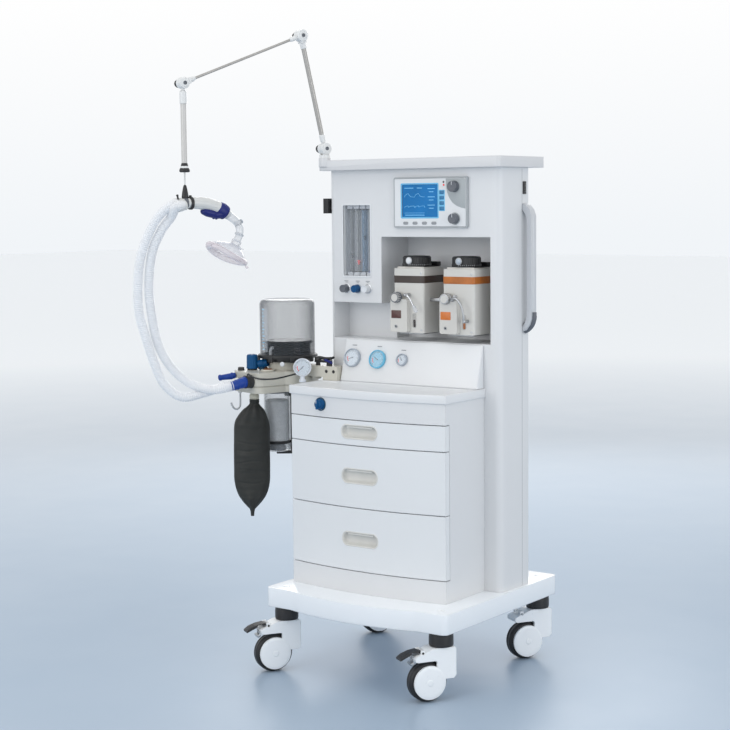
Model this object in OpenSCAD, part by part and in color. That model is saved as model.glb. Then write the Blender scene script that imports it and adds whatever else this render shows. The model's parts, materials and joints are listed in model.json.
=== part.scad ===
// Veterinary anesthesia machine on a four-caster base.
// Millimetres, +Z up, -Y is the operator's side, +X is the machine's right
// hand side as the operator sees it. The origin is on the floor, below the
// middle of the column's front face.

/* [Base and casters] */
// Width of the base plate
base_w = 561; // [540:1:600]
// Front edge of the base plate at its corner pads, in front of the column face
base_front = 278; // [270:1:300]
// Rear edge of the base plate, behind the column face
base_rear = 270; // [250:1:320]
// Thickness of the base plate
base_t = 50; // [40:1:60]
// Radius of a caster wheel
wheel_r = 50; // [50:1:50]
// Distance from the swivel axis to the wheel axle
trail = 39.5; // [36:0.5:42]
// Distance of a swivel axis from the base plate's edges
caster_inset = 38.6; // [36:0.1:48]
// Direction in which the casters point at rest, degrees
caster_dir = 57.9; // [0:0.1:359]

/* [Column] */
// Width of the upright column
col_w = 539; // [520:1:560]
// Depth of the upright column
col_d = 139; // [130:1:180]
// Height of the shelf's underside above the floor
shelf_z = 1303.5; // [1280:0.5:1340]
// Thickness of the top shelf
shelf_t = 27.5; // [20:0.5:36]

/* [Drawers and work surface] */
// Left side of the drawer unit
unit_x0 = -264; // [-270:1:-250]
// Right side of the drawer unit
unit_x1 = 219; // [200:1:225]
// Front of the drawer unit at its side edges
unit_front = 180; // [170:1:200]
// How far the fronts bow forward in the middle
unit_bow = 26; // [10:1:40]
// Height of the work surface
work_z = 744; // [740:1:760]
// Thickness of the work surface
work_t = 22; // [16:1:30]

/* [Vaporizers and meters] */
// Width of a vaporizer body
vap_w = 95; // [85:1:98]
// Height of a vaporizer body
vap_h = 167; // [150:1:175]
// Radius of a vaporizer dial
dial_r = 38; // [30:1:40]
// Radius of the two large pressure gauges
gauge_r = 25; // [20:1:26]

/* [Absorber] */
// Yaw of the absorber block, degrees
abs_yaw = -18; // [-25:1:-10]
// Radius of the bellows dome
dome_r = 75.5; // [70:0.5:78]
// Height of the bellows dome
dome_h = 156; // [140:1:170]
// Depth of the absorbent canister
can_h = 172; // [150:1:180]
// Radius of the absorbent canister
can_r = 36; // [30:1:38]

/* [Hose arm] */
// Yaw of the plane the hose arm lies in, degrees
arm_yaw = -112.2; // [-140:0.1:-90]
// Height of the arm's lowest knuckle
arm_z0 = 1362.5; // [1355:0.5:1380]
// Horizontal reach of the lower arm
arm_dx1 = 68; // [40:1:90]
// Rise of the lower arm
arm_dz1 = 294; // [250:1:320]
// Horizontal reach of the upper arm
arm_dx2 = 345.5; // [300:0.5:360]
// Drop of the upper arm
arm_dz2 = -133; // [-160:1:-100]

/* [Hidden] */

fit = 0.05; // radial play of a shaft in its hole
gap = 0.1;  // space between neighbouring pieces

// Colours shared by several pieces
near_black = [0.12, 0.12, 0.13];
absorber_black = [0.1, 0.1, 0.11];
bellows_black = [0.08, 0.08, 0.09];
rear_black = [0.15, 0.15, 0.16];
neck_cream = [0.8, 0.77, 0.7];

// ------------------------------------------------------------- helpers
// Rectangles on the machine's front are [x0, x1, z0, z1].
function grown(rect, by) = [rect[0] - by, rect[1] + by, rect[2] - by, rect[3] + by];

function arc_pts(cx, cy, r, a0, a1, n) =
  [for (i = [0:n]) let (a = a0 + (a1 - a0) * i / n) [cx + r * cos(a), cy + r * sin(a)]];
// rectangle with one radius for the corners at y0 and another for those at y1
function rrect_f(x0, y0, x1, y1, front_r, rear_r, n = 6) = concat(
  arc_pts(x1 - rear_r, y1 - rear_r, rear_r, 0, 90, n),
  arc_pts(x0 + rear_r, y1 - rear_r, rear_r, 90, 180, n),
  arc_pts(x0 + front_r, y0 + front_r, front_r, 180, 270, n),
  arc_pts(x1 - front_r, y0 + front_r, front_r, 270, 360, n));
function rrect(x0, y0, x1, y1, r, n = 6) = rrect_f(x0, y0, x1, y1, r, r, n);

module slab(pts, z0, z1) {
  translate([0, 0, z0]) linear_extrude(z1 - z0) polygon(pts);
}
module box(x0, x1, y0, y1, z0, z1) {
  translate([x0, y0, z0]) cube([x1 - x0, y1 - y0, z1 - z0]);
}
module front_box(rect, y0, y1) {
  box(rect[0], rect[1], y0, y1, rect[2], rect[3]);
}
// plate standing in the X-Z plane, its outline given as [x, z] points
module wall(pts, y0, y1) {
  translate([0, y1, 0]) rotate([90, 0, 0]) linear_extrude(y1 - y0) polygon(pts);
}
module rounded_plate(rect, r, y0, y1, n = 5) {
  wall(rrect(rect[0], rect[2], rect[1], rect[3], r, n), y0, y1);
}
// upright cylinder whose foot is at z
module disc(z, r, h, fn = 48) {
  translate([0, 0, z]) cylinder(r = r, h = h, $fn = fn);
}
// cylinder along Y through the [x, z] point
module pin_y(place, r, y0, y1, fn = 32) {
  translate([place[0], y1, place[1]]) rotate([90, 0, 0]) cylinder(r = r, h = y1 - y0, $fn = fn);
}

// solid through rings of points, closed at both ends by a fan about the ring's centre
function centre(ring) = [for (p = ring) 1] * ring / len(ring);
module loft(rings) {
  n = len(rings[0]);
  m = len(rings);
  polyhedron(
    points = concat([for (ring = rings) for (p = ring) p], [centre(rings[0]), centre(rings[m - 1])]),
    faces = concat(
      [for (i = [0:m - 2]) for (j = [0:n - 1])
        let (a = i * n + j, b = i * n + (j + 1) % n)
        for (face = [[a, b, b + n], [a, b + n, a + n]]) face],
      [for (j = [0:n - 1]) [(j + 1) % n, j, m * n]],
      [for (j = [0:n - 1]) [(m - 1) * n + j, (m - 1) * n + (j + 1) % n, m * n + 1]]));
}

// Catmull-Rom curve between two points, given their outer neighbours
function spline(before, start, end, after, t) = 0.5 * (2 * start + (end - before) * t
  + (2 * before - 5 * start + 4 * end - after) * t * t
  + (3 * start - before - 3 * end + after) * t * t * t);
// smooth path through the points, sampled n times per span
function smooth(pts, n) = let (last = len(pts) - 1) concat(
  [for (i = [0:last - 1]) for (k = [0:n - 1])
    spline(pts[max(i - 1, 0)], pts[i], pts[i + 1], pts[min(i + 2, last)], k / n)],
  [pts[last]]);
function unit_vector(v) = v / norm(v);
// elliptic pipe along a path; radii are [across ref, along ref] at each point
module pipe(path, radii, ref, sides) {
  last = len(path) - 1;
  loft([for (i = [0:last])
    let (
      along = unit_vector(path[min(i + 1, last)] - path[max(i - 1, 0)]),
      side = unit_vector(cross(along, ref)),
      up = cross(side, along))
    [for (j = [0:sides - 1])
      let (a = -360 * j / sides)
      path[i] + radii[i][0] * cos(a) * side + radii[i][1] * sin(a) * up]]);
}

// ---------------------------------------------------------------- base
base_u = wheel_r + 120.5; // underside of the base plate
base_z = base_u + base_t; // top of the base plate
caster_x = base_w / 2 - caster_inset;
caster_front_y = -base_front + caster_inset;
caster_rear_y = base_rear - caster_inset;
front_left = [-caster_x, caster_front_y];
front_right = [caster_x, caster_front_y];
back_left = [-caster_x, caster_rear_y];
back_right = [caster_x, caster_rear_y];
caster_places = [front_left, front_right, back_left, back_right];
stem_r = 6; // swivel stem

module base_plate() {
  half = base_w / 2;
  corner_r = 16;
  bow_half = half - 80; // the corner pads take the outer 80
  front_bow = 28;
  rear_bow = 10;
  front_r = (bow_half * bow_half + front_bow * front_bow) / (2 * front_bow);
  front = [for (i = [0:16]) let (x = bow_half - 2 * bow_half * i / 16)
    [x, -base_front - (sqrt(front_r * front_r - x * x) - (front_r - front_bow))]];
  rear = [for (i = [0:10]) let (x = -bow_half + 2 * bow_half * i / 10)
    [x, base_rear + rear_bow * (1 - (x / bow_half) * (x / bow_half))]];
  outline = concat(
    front,
    arc_pts(-half + corner_r, -base_front + corner_r, corner_r, 270, 180, 6),
    arc_pts(-half + corner_r, base_rear - corner_r, corner_r, 180, 90, 6),
    rear,
    arc_pts(half - corner_r, base_rear - corner_r, corner_r, 90, 0, 6),
    arc_pts(half - corner_r, -base_front + corner_r, corner_r, 0, -90, 6));
  color("whitesmoke") difference() {
    slab(outline, base_u, base_z);
    for (place = caster_places)
      translate([place[0], place[1], 0]) disc(base_u - 1, stem_r + fit, 31);
    // shallow well of the underside
    box(-180, 180, -200, 220, base_u - 1, base_u + 14);
  }
}

module caster_collars() {
  color([0.16, 0.16, 0.17])
    for (place = caster_places) translate([place[0], place[1], base_u]) {
      disc(-36, 27, 4, 64);
      disc(-32, 30, 26, 64);
      disc(-6, 27, 5.9, 64);
      disc(-62, stem_r, 88);
    }
}

// A caster has its swivel axis on Z and its wheel axle along Y at x = -trail.
axle = [-trail, wheel_r];
axle_r = 6;
pedal_hinge = [-57, 124.5];
pedal_pin_r = 3;
// outline of the fork's body, [x, z]
fork_outline = [[-21, 60], [-18, 56], [24, 56], [30.5, 64], [30.5, 130], [27, 134],
  [-31, 134], [-45, 128.5], [-70, 119.5], [-77, 116.5], [-79, 112], [-77, 105],
  [-72, 103], [-24, 103], [-21, 100]];
ear_outline = [[-62, 116], [-52, 116], [-52, 131.5], [-62, 131.5]];
// outlines of the pedal's tread and of its tongue, [x, z]
pedal_outline = [[-66, 126.4], [-66, 131.5], [-85, 128.5], [-103, 122.5], [-115, 114],
  [-114, 109.5], [-102, 115], [-91, 119.5], [-86, 122], [-84, 126.6]];
tongue_outline = [[-67, 127], [-67, 131.5], [-57, 127.5], [-57, 121.5], [-60, 121.5],
  [-62, 125]];
// one half of the tyre's section, [depth below the tread, distance from mid plane]
tyre = [[8, 16], [6, 15.5], [2.5, 13], [0.6, 8.5], [0, 3]];

module fork() {
  color("white") difference() {
    union() {
      wall(fork_outline, -23, 23);
      pin_y(axle, 42, -23, 23, 96);
      // ears of the pedal hinge
      for (y = [-17, 17]) translate([0, y, 0]) wall(ear_outline, -2.5, 2.5);
    }
    // room for the wheel
    pin_y(axle, wheel_r + 3, -17.6, 17.6, 96);
    disc(90, stem_r + fit, 60);
    pin_y(pedal_hinge, pedal_pin_r + fit, -30, 30);
    // room for the pedal's tongue between the ears
    box(-66, -48, -14, 14, 117, 140);
  }
  color("silver") pin_y(axle, axle_r, -20, 20, 48);
}
module wheel() {
  bore = axle_r + fit;
  color([0.13, 0.13, 0.14])
    translate([-trail, 0, wheel_r]) rotate([90, 0, 0]) rotate_extrude($fn = 96)
      polygon(concat(
        [[bore, -tyre[0][1]]],
        [for (p = tyre) [wheel_r - p[0], -p[1]]],
        [for (i = [len(tyre) - 1:-1:0]) [wheel_r - tyre[i][0], tyre[i][1]]],
        [[bore, tyre[0][1]]]));
}
module pedal() {
  color([0.14, 0.14, 0.15]) {
    wall(pedal_outline, -14, 14);
    wall(tongue_outline, -13.5, 13.5);
    pin_y(pedal_hinge, pedal_pin_r, -19.4, 19.4);
  }
}
module at_caster(place) {
  translate([place[0], place[1], 0]) rotate([0, 0, caster_dir]) children();
}
module caster_fork_fl() { at_caster(front_left) fork(); }
module caster_fork_fr() { at_caster(front_right) fork(); }
module caster_fork_bl() { at_caster(back_left) fork(); }
module caster_fork_br() { at_caster(back_right) fork(); }
module wheel_fl() { at_caster(front_left) wheel(); }
module wheel_fr() { at_caster(front_right) wheel(); }
module wheel_bl() { at_caster(back_left) wheel(); }
module wheel_br() { at_caster(back_right) wheel(); }
module brake_pedal_fl() { at_caster(front_left) pedal(); }
module brake_pedal_fr() { at_caster(front_right) pedal(); }

// -------------------------------------------------------------- column
half_col = col_w / 2;
col_wall = 12;
shelf_top = shelf_z + shelf_t;
arm_place = [-265, -21]; // swivel axis of the hose arm, on the shelf
arm_stem_r = 7;

// openings of the column's front
bay = [-97, 239, 857, 1128]; // vaporizers
bay_d = 125;
recess = [-255, bay[0], 857, 953]; // left of the bay
recess_d = 70;
monitor = [-47, 172, 1155, 1278.5];
flow_window = [-221, -133, 1024, 1211];
drawer_void = [unit_x0 + 10, unit_x1 - 10, 290, 656];

bar_y = bay_d - 22; // front of the bar that carries the vaporizers
flow_knob_x = [-212.5, -175, -142];
flow_knob_z = 990;
flow_shaft_r = 4;

module column_shell() {
  color("whitesmoke") difference() {
    union() {
      difference() {
        slab(rrect_f(-half_col, 0, half_col, col_d, 20, 4), base_z, shelf_z);
        box(-half_col + col_wall, half_col - col_wall, col_wall, col_d + 1,
          base_z + col_wall, shelf_z - col_wall);
      }
      // liners of the vaporizer bay and of the recess beside it
      front_box(grown(bay, 8), 6, bay_d + 8);
      box(recess[0] - 6, recess[1], 6, recess_d + 8, recess[2] - 8, recess[3] + 6);
    }
    front_box(bay, -1, bay_d);
    box(recess[0], recess[1] + 1, -1, recess_d, recess[2], recess[3]);
    // the drawers reach back through their opening
    for (opening = [monitor, flow_window, drawer_void]) front_box(opening, -1, 20);
    // valve shafts of the flow knobs
    for (x = flow_knob_x) pin_y([x, flow_knob_z], flow_shaft_r + fit, -10, 20);
  }
  color("silver") box(-60, 228, bar_y, bay_d + 1, 950, 990);
}

// louvred panel: slots 6 high at a pitch of 18
module louvres(half_w, z0, count) {
  for (i = [0:count - 1])
    box(-half_w, half_w, col_d - 6, col_d, z0 + 18 * i, z0 + 6 + 18 * i);
}
module rear_panel() {
  margin = col_wall + 0.3;
  color("gainsboro") difference() {
    box(-half_col + margin, half_col - margin, col_d - 5, col_d - 1,
      base_z + margin, shelf_z - margin);
    louvres(110, 1120, 8);
    louvres(70, 330, 6);
  }
}

module top_shelf() {
  rim = 12;
  half_w = 284;
  y0 = -29;
  y1 = 200;
  color("white") difference() {
    union() {
      difference() {
        slab(rrect(-half_w, y0, half_w, y1, 14), shelf_z, shelf_top);
        slab(rrect(-half_w + rim, y0 + rim, half_w - rim, y1 - rim, 8),
          shelf_top - 2.5, shelf_top + 1);
      }
      // boss of the hose arm
      translate([arm_place[0], arm_place[1], shelf_z]) disc(10, 16, shelf_t - 10 + 6, 64);
    }
    translate([arm_place[0], arm_place[1], shelf_z]) disc(12, arm_stem_r + fit, 40);
  }
}

// ------------------------------------------------- drawer unit and top
unit_mid = (unit_x0 + unit_x1) / 2;
unit_half = (unit_x1 - unit_x0) / 2;
bow_r = (unit_half * unit_half + unit_bow * unit_bow) / (2 * unit_bow);
switch_place = [-152, 702]; // [x, z]
switch_shaft_r = 5;
// heights of the joints between toe panel, three drawers and upper panel
joints = [278.5, 442, 602.5, 668];
// drawers from the bottom up: [tray's underside, grip's middle height, grip's height]
drawers = [[299, 361, 34], [463, 524, 36], [623, 637.5, 33]];

// block with the unit's bowed front
module bowed(x0, x1, y1, z0, z1, grow = 0) {
  intersection() {
    box(x0, x1, -unit_front - unit_bow - 20, y1, z0, z1);
    translate([unit_mid, -unit_front - unit_bow + bow_r, z0 - 1])
      cylinder(r = bow_r + grow, h = z1 - z0 + 2, $fn = 240);
  }
}
// x spans from near to far inside the unit's left and right sides
function side_spans(near, far) =
  [[unit_x0 + near, unit_x0 + far], [unit_x1 - far, unit_x1 - near]];

module work_surface() {
  overhang = 4;
  rim = 8;
  color("white") difference() {
    bowed(unit_x0 - overhang, unit_x1 + overhang, 0, work_z - work_t, work_z, overhang);
    // sunken top, except at the rear left corner
    difference() {
      bowed(unit_x0 + rim, unit_x1 - rim, -44, work_z - 2, work_z + 1, -rim);
      box(-300, -200, -60, 0, work_z - 3, work_z + 2);
    }
  }
}

// wedge behind the work surface; its sloping face runs from foot to head, [y, z]
console_x0 = -212;
face_foot = [-34, work_z + 3];
face_head = [-5, 854];
face_slope = (face_head[0] - face_foot[0]) / (face_head[1] - face_foot[1]);
module gauge_console() {
  color("white") translate([console_x0, 0, 0]) rotate([90, 0, 90])
    linear_extrude(unit_x1 - console_x0)
      polygon([[-gap, work_z], [face_foot[0], work_z], face_foot, face_head, [-gap, 856]]);
}

module drawer_cabinet() {
  panel_y = -unit_front + 19;
  color("white") {
    difference() {
      box(unit_x0, unit_x1, -unit_front + 18, -gap, base_z, work_z - work_t);
      front_box(drawer_void, -unit_front, 1);
    }
    // fixed upper panel and toe panel
    difference() {
      bowed(unit_x0, unit_x1, panel_y, joints[3] + 1, work_z - work_t);
      pin_y(switch_place, switch_shaft_r + fit, -230, -170);
    }
    bowed(unit_x0, unit_x1, panel_y, base_z, joints[0] - 1);
  }
  // runners
  color("silver") for (row = drawers, span = side_spans(9.5, 18))
    box(span[0], span[1], -unit_front + 24, -2, row[0] - 3, row[0]);
}

module drawer(i) {
  z0 = joints[i];
  z1 = joints[i + 1];
  tray_z = drawers[i][0];
  grip_z = drawers[i][1];
  grip_h = drawers[i][2];
  tray_front = -unit_front + 17;
  tray_rear = 108;
  tray_wall = 4;
  color("white") difference() {
    bowed(unit_x0 + 0.5, unit_x1 - 0.5, -unit_front + 17.6, z0 + 1, z1 - 1);
    rounded_plate([-81, 28, grip_z - grip_h / 2, grip_z + grip_h / 2], grip_h / 2 - 2,
      -unit_front - 60, -unit_front - 9, 8);
  }
  color("gainsboro") difference() {
    box(unit_x0 + 20, unit_x1 - 20, tray_front, tray_rear, tray_z, z1 - 16);
    box(unit_x0 + 20 + tray_wall, unit_x1 - 20 - tray_wall,
      tray_front + tray_wall, tray_rear - tray_wall, tray_z + tray_wall, z1);
  }
  // flanges that ride on the runners
  color("silver") for (span = side_spans(12, 21))
    box(span[0], span[1], -unit_front + 26, tray_rear, tray_z + 0.5, tray_z + 3);
}
module drawer_top() { drawer(2); }
module drawer_middle() { drawer(1); }
module drawer_bottom() { drawer(0); }

module system_switch() {
  color("teal") translate([switch_place[0], -200.6, switch_place[1]]) rotate([90, 0, 0]) {
    disc(-16, switch_shaft_r, 20, 32);
    disc(0, 13.5, 5);
    disc(4, 11, 12);
    translate([-3, -12.5, 14]) cube([6, 25, 5]);
  }
}

// -------------------------------------------------- meters and monitor
tube_count = 4;
tube_pitch = 21;
tube_x0 = -208.5;
seat_z = [1022.2, 1202]; // undersides of the blocks below and above the tubes
seat_h = 10.8;
seat_half = 8.5;
function tube_x(i) = tube_x0 + tube_pitch * i;

module flow_block() {
  color("gainsboro") difference() {
    box(-224, -130, 12.2, 44, 1016, 1218);
    box(-220, -134, 11, 34, 1022, 1213);
  }
  color([0.2, 0.2, 0.22]) for (i = [0:tube_count - 1], z = seat_z)
    box(tube_x(i) - seat_half, tube_x(i) + seat_half, 13, 33.9, z, z + seat_h);
}
module flow_tubes() {
  end_gap = 0.2;
  foot = seat_z[0] + seat_h + end_gap;
  length = seat_z[1] - end_gap - foot;
  color([0.7, 0.85, 0.95, 0.5])
    for (i = [0:tube_count - 1]) translate([tube_x(i), 23, foot]) difference() {
      cylinder(r = 7.5, h = length, $fn = 32);
      disc(-1, 5, length + 2.4, 32);
    }
}
module flow_knob(i, paint) {
  color(paint) translate([flow_knob_x[i], 0, flow_knob_z]) rotate([90, 0, 0]) {
    disc(-18, flow_shaft_r, 20, 32);
    disc(1, 8, 4);
    disc(4, 10.5, 15);
    disc(19, 9, 2);
  }
}
module flow_knob_air() { flow_knob(0, "gray"); }
module flow_knob_oxygen() { flow_knob(1, "teal"); }
module flow_knob_nitrous() { flow_knob(2, "white"); }

screen_window = [-24, 87, 1179.4, 1263.2];
// upper and lower knob: [x, z, radius]
monitor_knobs = [[138.5, 1256.8, 14.5], [139.3, 1175.2, 13.3]];
monitor_shaft_r = 3;

module monitor_housing() {
  color([0.62, 0.65, 0.67]) difference() {
    union() {
      rounded_plate(grown(monitor, 3.5), 5, -8, -gap);
      front_box(grown(monitor, -1), -1, 70);
    }
    rounded_plate(monitor, 3, -9, -3);
    box(-42, 167, 4, 66, 1160, 1273);
    for (knob = monitor_knobs) pin_y(knob, monitor_shaft_r + fit, -4, 8);
  }
}
module monitor_fascia() {
  color("white") difference() {
    rounded_plate(grown(monitor, -0.4), 2.8, -9, -3.1);
    front_box(screen_window, -10, -2);
    for (knob = monitor_knobs) pin_y(knob, monitor_shaft_r + 0.3, -16, 8);
  }
}
module screen() {
  color([0.1, 0.4, 0.8]) front_box(grown(screen_window, -0.2), -7, -3.2);
}
module monitor_knob(knob) {
  r = knob[2];
  color([0.35, 0.35, 0.38]) translate([knob[0], 0, knob[1]]) rotate([90, 0, 0]) {
    disc(-2, monitor_shaft_r, 13, 32);
    disc(9.6, r, 13);
    disc(22, r - 2, 2.5);
  }
}
module monitor_knob_upper() { monitor_knob(monitor_knobs[0]); }
module monitor_knob_lower() { monitor_knob(monitor_knobs[1]); }

// gauges stand on the sloping face of the console
module gauge(x, z, r) {
  translate([x, face_foot[0] + (z - face_foot[1]) * face_slope, z])
    rotate([90 - atan(face_slope), 0, 0]) translate([0, 0, 0.15]) rotate_extrude($fn = 64)
      polygon([[0, 0], [r, 0], [r, 6], [r - 1.5, 8.5], [r - 3.5, 8.5], [r - 4, 4], [0, 4]]);
}
module gauges() {
  color("silver") {
    gauge(-180, 805.5, gauge_r);
    gauge(-98, 805, gauge_r);
    gauge(-20, 807, 16.5);
  }
}

// ---------------------------------------------------------- vaporizers
vap_left_x = -45;
vap_right_x = 108;
vap_z = 880;
vap_top = vap_z + vap_h;
dial_y = 20;
spindle_r = 6;

module vaporizer(x) {
  mid = x + vap_w / 2;
  cap_x = x + 20;
  cap_z = vap_z + 92;
  color([0.88, 0.86, 0.82]) difference() {
    union() {
      slab(rrect(x, -20, x + vap_w, 80, 7, 5), vap_z, vap_top);
      slab(rrect(x + 6, -14, x + vap_w - 6, 74, 7, 5), vap_top - 1, vap_top + 4.5);
      // filler block at the lower left
      rounded_plate([x - 1, x + 52, vap_z + 2, vap_z + 88], 5, -34, -18);
      // rear hanger, up to the bar
      box(mid - 22, mid + 22, 78, bar_y - gap, 955, 987);
    }
    translate([mid, dial_y, vap_top]) disc(-20, spindle_r + fit, 40);
  }
  // filler cap and its neck
  color("gray") pin_y([cap_x, cap_z], 13, -46, -30, 48);
  color("gray") pin_y([cap_x, cap_z], 6, -31, -18);
}
module vaporizer_left() { vaporizer(vap_left_x); }
module vaporizer_right() { vaporizer(vap_right_x); }

module dial(x) {
  color(near_black) translate([x + vap_w / 2, dial_y, vap_top + 5]) {
    disc(-22, spindle_r, 23);
    rotate_extrude($fn = 96) polygon([[0, 0], [dial_r - 2, 0], [dial_r, 2], [dial_r, 24],
      [dial_r - 2.5, 27], [0, 27]]);
    // round stud on the dial's front
    pin_y([0, 13], 7, -dial_r - 4, -dial_r + 2);
  }
}
module dial_left() { dial(vap_left_x); }
module dial_right() { dial(vap_right_x); }

// ---------------------------------------------- side and rear fittings
side_x = half_col + gap; // where pieces stand against the column's sides
arm_top = 782; // top of the absorber's arm
// bow handle on the right side, [x, z]
handle_outline = [[side_x, 884], [side_x, 896], [279, 912], [283, 924], [283, 1172],
  [279, 1184], [side_x, 1196], [side_x, 1212], [280, 1208], [291, 1197], [297, 1180],
  [297, 918], [292, 902], [281, 888]];

module side_handle() {
  color("gainsboro") wall(handle_outline, 105, 129);
}
module side_fittings() {
  color(near_black) {
    box(side_x, 272, 108, 122, 1236, 1268);
    box(-286, -side_x, -2, 24, 1190, 1230);
    // clamp lever above the absorber's arm
    box(-298, -246, -34, -22, 790, 797);
    translate([-290, -28, arm_top + gap]) cylinder(r = 6, h = 9, $fn = 32);
    translate([-252, -28, arm_top + gap]) cylinder(r = 8, h = 12, $fn = 32);
  }
}
module rear_fittings() {
  rear_y = col_d - 0.9;
  // three hexagonal flanges with round stubs
  color("silver") for (i = [0:2])
    translate([-120 + 45 * i, rear_y, 1010]) rotate([-90, 0, 0]) {
      disc(0, 15, 4, 6);
      disc(0, 8, 28);
    }
  // shallow socket with three blades
  color(rear_black) difference() {
    box(120, 190, rear_y, col_d + 7, 980, 1030);
    box(126, 184, col_d + 2, col_d + 8, 986, 1024);
  }
  color(rear_black) for (p = [[132, 1005], [155, 1012], [178, 1005]])
    box(p[0] - 2, p[0] + 2, col_d + 1, col_d + 6, p[1] - 5, p[1] + 5);
}

// ------------------------------------------------------------ absorber
// Absorber frame: origin at the middle of the deck's front edge.
module at_abs() {
  translate([-443, -155, 0]) rotate([0, 0, abs_yaw]) children();
}
deck_z0 = 711;
deck_z1 = 766;
deck_gap_z = deck_z1 + gap; // foot of the pieces that stand on the deck
bellows_place = [0, 140];
bellows_base_z = deck_gap_z + 23;
dome_z = bellows_base_z + 13;
bellows_z = dome_z + 0.1;
bellows_pitch = 4.3; // height of half a fold
apl_place = [-40, 50];
bag_place = [-12, 37];

module at_bellows(z) {
  at_abs() translate([bellows_place[0], bellows_place[1], z]) children();
}

module deck_part(z0, z1, inset) {
  slab(rrect_f(-66 + inset, inset, 66 - inset, 150, 20, 4), z0, z1);
  translate([bellows_place[0], bellows_place[1], z0])
    cylinder(r = 84 - inset, h = z1 - z0, $fn = 96);
}
module absorber_deck() {
  color([0.87, 0.85, 0.80]) {
    at_abs() {
      deck_part(deck_z0, 728, 0);
      // groove around the deck
      deck_part(727.5, 731, 2);
      deck_part(730.5, deck_z1, 0);
    }
    at_bellows(deck_z1) disc(-1, 54, 24, 96);
  }
}
module bellows_base() {
  color(absorber_black) at_bellows(bellows_base_z) {
    disc(0, 66, 10, 96);
    disc(9, 79, 3.9, 96);
  }
}
module bellows_dome() {
  shell = 2.5;
  round_r = 14; // rounding of the dome's shoulder
  arc_r = dome_r - round_r;
  arc_z = dome_h - round_r;
  color([0.8, 0.9, 0.92, 0.35]) at_bellows(dome_z) rotate_extrude($fn = 96)
    polygon(concat(
      [[dome_r - shell, 0], [dome_r + 3, 0], [dome_r + 3, 4], [dome_r, 5]],
      arc_pts(arc_r, arc_z, round_r, 0, 90, 6),
      [[0, dome_h], [0, dome_h - shell]],
      arc_pts(arc_r, arc_z, round_r - shell, 90, 0, 6)));
}
module bellows() {
  color(bellows_black) at_bellows(bellows_z) rotate_extrude($fn = 64)
    polygon(concat(
      [[20, 0]],
      [for (i = [0:8]) [i % 2 == 0 ? 57 : 63, bellows_pitch * i]],
      [[20, 8 * bellows_pitch]]));
}
module bellows_top() {
  color(bellows_black) at_bellows(bellows_z + 8 * bellows_pitch + 0.4) {
    disc(0, 60, 4, 64);
    disc(0, 12, 7);
  }
}
module canister() {
  color([0.85, 0.88, 0.9, 0.5]) at_abs() translate([-26, 119, deck_z0 - 0.2 - can_h])
    difference() {
      cylinder(r = can_r, h = can_h, $fn = 64);
      disc(5, can_r - 3, can_h - 9, 64);
    }
}
module valve_domes() {
  // [x, y, radius]
  color([0.75, 0.6, 0.45]) at_abs() for (valve = [[14, 66, 17], [-52, 92, 13.5]])
    translate([valve[0], valve[1], deck_gap_z]) rotate_extrude($fn = 48)
      polygon([[0, 0], [valve[2], 0], [valve[2], 3], [valve[2] - 3, 5], [0, 6.5]]);
}
module deck_ports() {
  color(absorber_black) at_abs() {
    // ports on the deck's front: [x, z, length, radius]
    for (port = [[32, 743, 20, 18], [-14, 736, 12, 15]])
      pin_y(port, port[3], -gap - port[2], -gap, 48);
    // oxygen cell
    translate([-50, 20, deck_gap_z]) cylinder(r = 9, h = 7, $fn = 48);
    // seat of the APL valve
    translate([apl_place[0], apl_place[1], deck_gap_z]) cylinder(r = 12, h = 4, $fn = 48);
  }
  // spill port beside the valve
  color("teal") at_abs() translate([apl_place[0], apl_place[1], 0]) rotate([0, 0, 54]) {
    translate([17, 0, 777.6]) rotate([0, 90, 0]) cylinder(r = 11, h = 14, $fn = 48);
    translate([24, 0, deck_gap_z]) cylinder(r = 5, h = 6, $fn = 32);
  }
  // reservoir bag neck
  color(neck_cream) at_abs() translate([bag_place[0], bag_place[1], 0]) {
    disc(684, 11, deck_z0 - 684 - gap);
    disc(688, 13, 12);
  }
}
module apl_knob() {
  color("teal") at_abs() translate([apl_place[0], apl_place[1], deck_z1 + 4.2]) {
    disc(0, 16, 4);
    disc(3, 15.4, 34);
    disc(36, 13, 2.5);
  }
}
module airway_gauge() {
  color("white") translate([-304, -80, 779]) rotate([0, 0, 35.9]) rotate([90, 0, 0]) {
    rotate_extrude($fn = 64) polygon([[0, -16], [22, -16], [24.5, -12], [24.5, 0],
      [22, 2], [21, -2], [0, -2]]);
    translate([0, -18.5, -36]) cylinder(r = 4.5, h = 24, $fn = 32);
  }
}
module absorber_arm() {
  color([0.85, 0.83, 0.77]) difference() {
    union() {
      box(-330, -214, -45, -3, 752, arm_top);
      box(-262, -214, -45, -3, work_z + gap, 753);
      translate([-300, -24, 745]) cylinder(r = 14, h = 10, $fn = 48);
    }
    // two blind holes in the front
    for (x = [-250, -226]) pin_y([x, 768], 4, -46, -42);
  }
}

// [fraction of the bag's drop, half width]
bag_widths = [[0, 12], [0.05, 19], [0.1, 33], [0.15, 41.5], [0.2, 46.6], [0.25, 48.4],
  [0.35, 48.6], [0.65, 48.5], [0.7, 47.4], [0.75, 45], [0.8, 40.2], [0.85, 31.5],
  [0.9, 18.5], [0.95, 6.2], [1, 5]];
function bag_w(t) = lookup(t, bag_widths);
// half depth
function bag_d(t) = t < 0.06 ? 12 : min(21, 0.43 * bag_w(t) + 4, bag_w(t));
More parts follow.
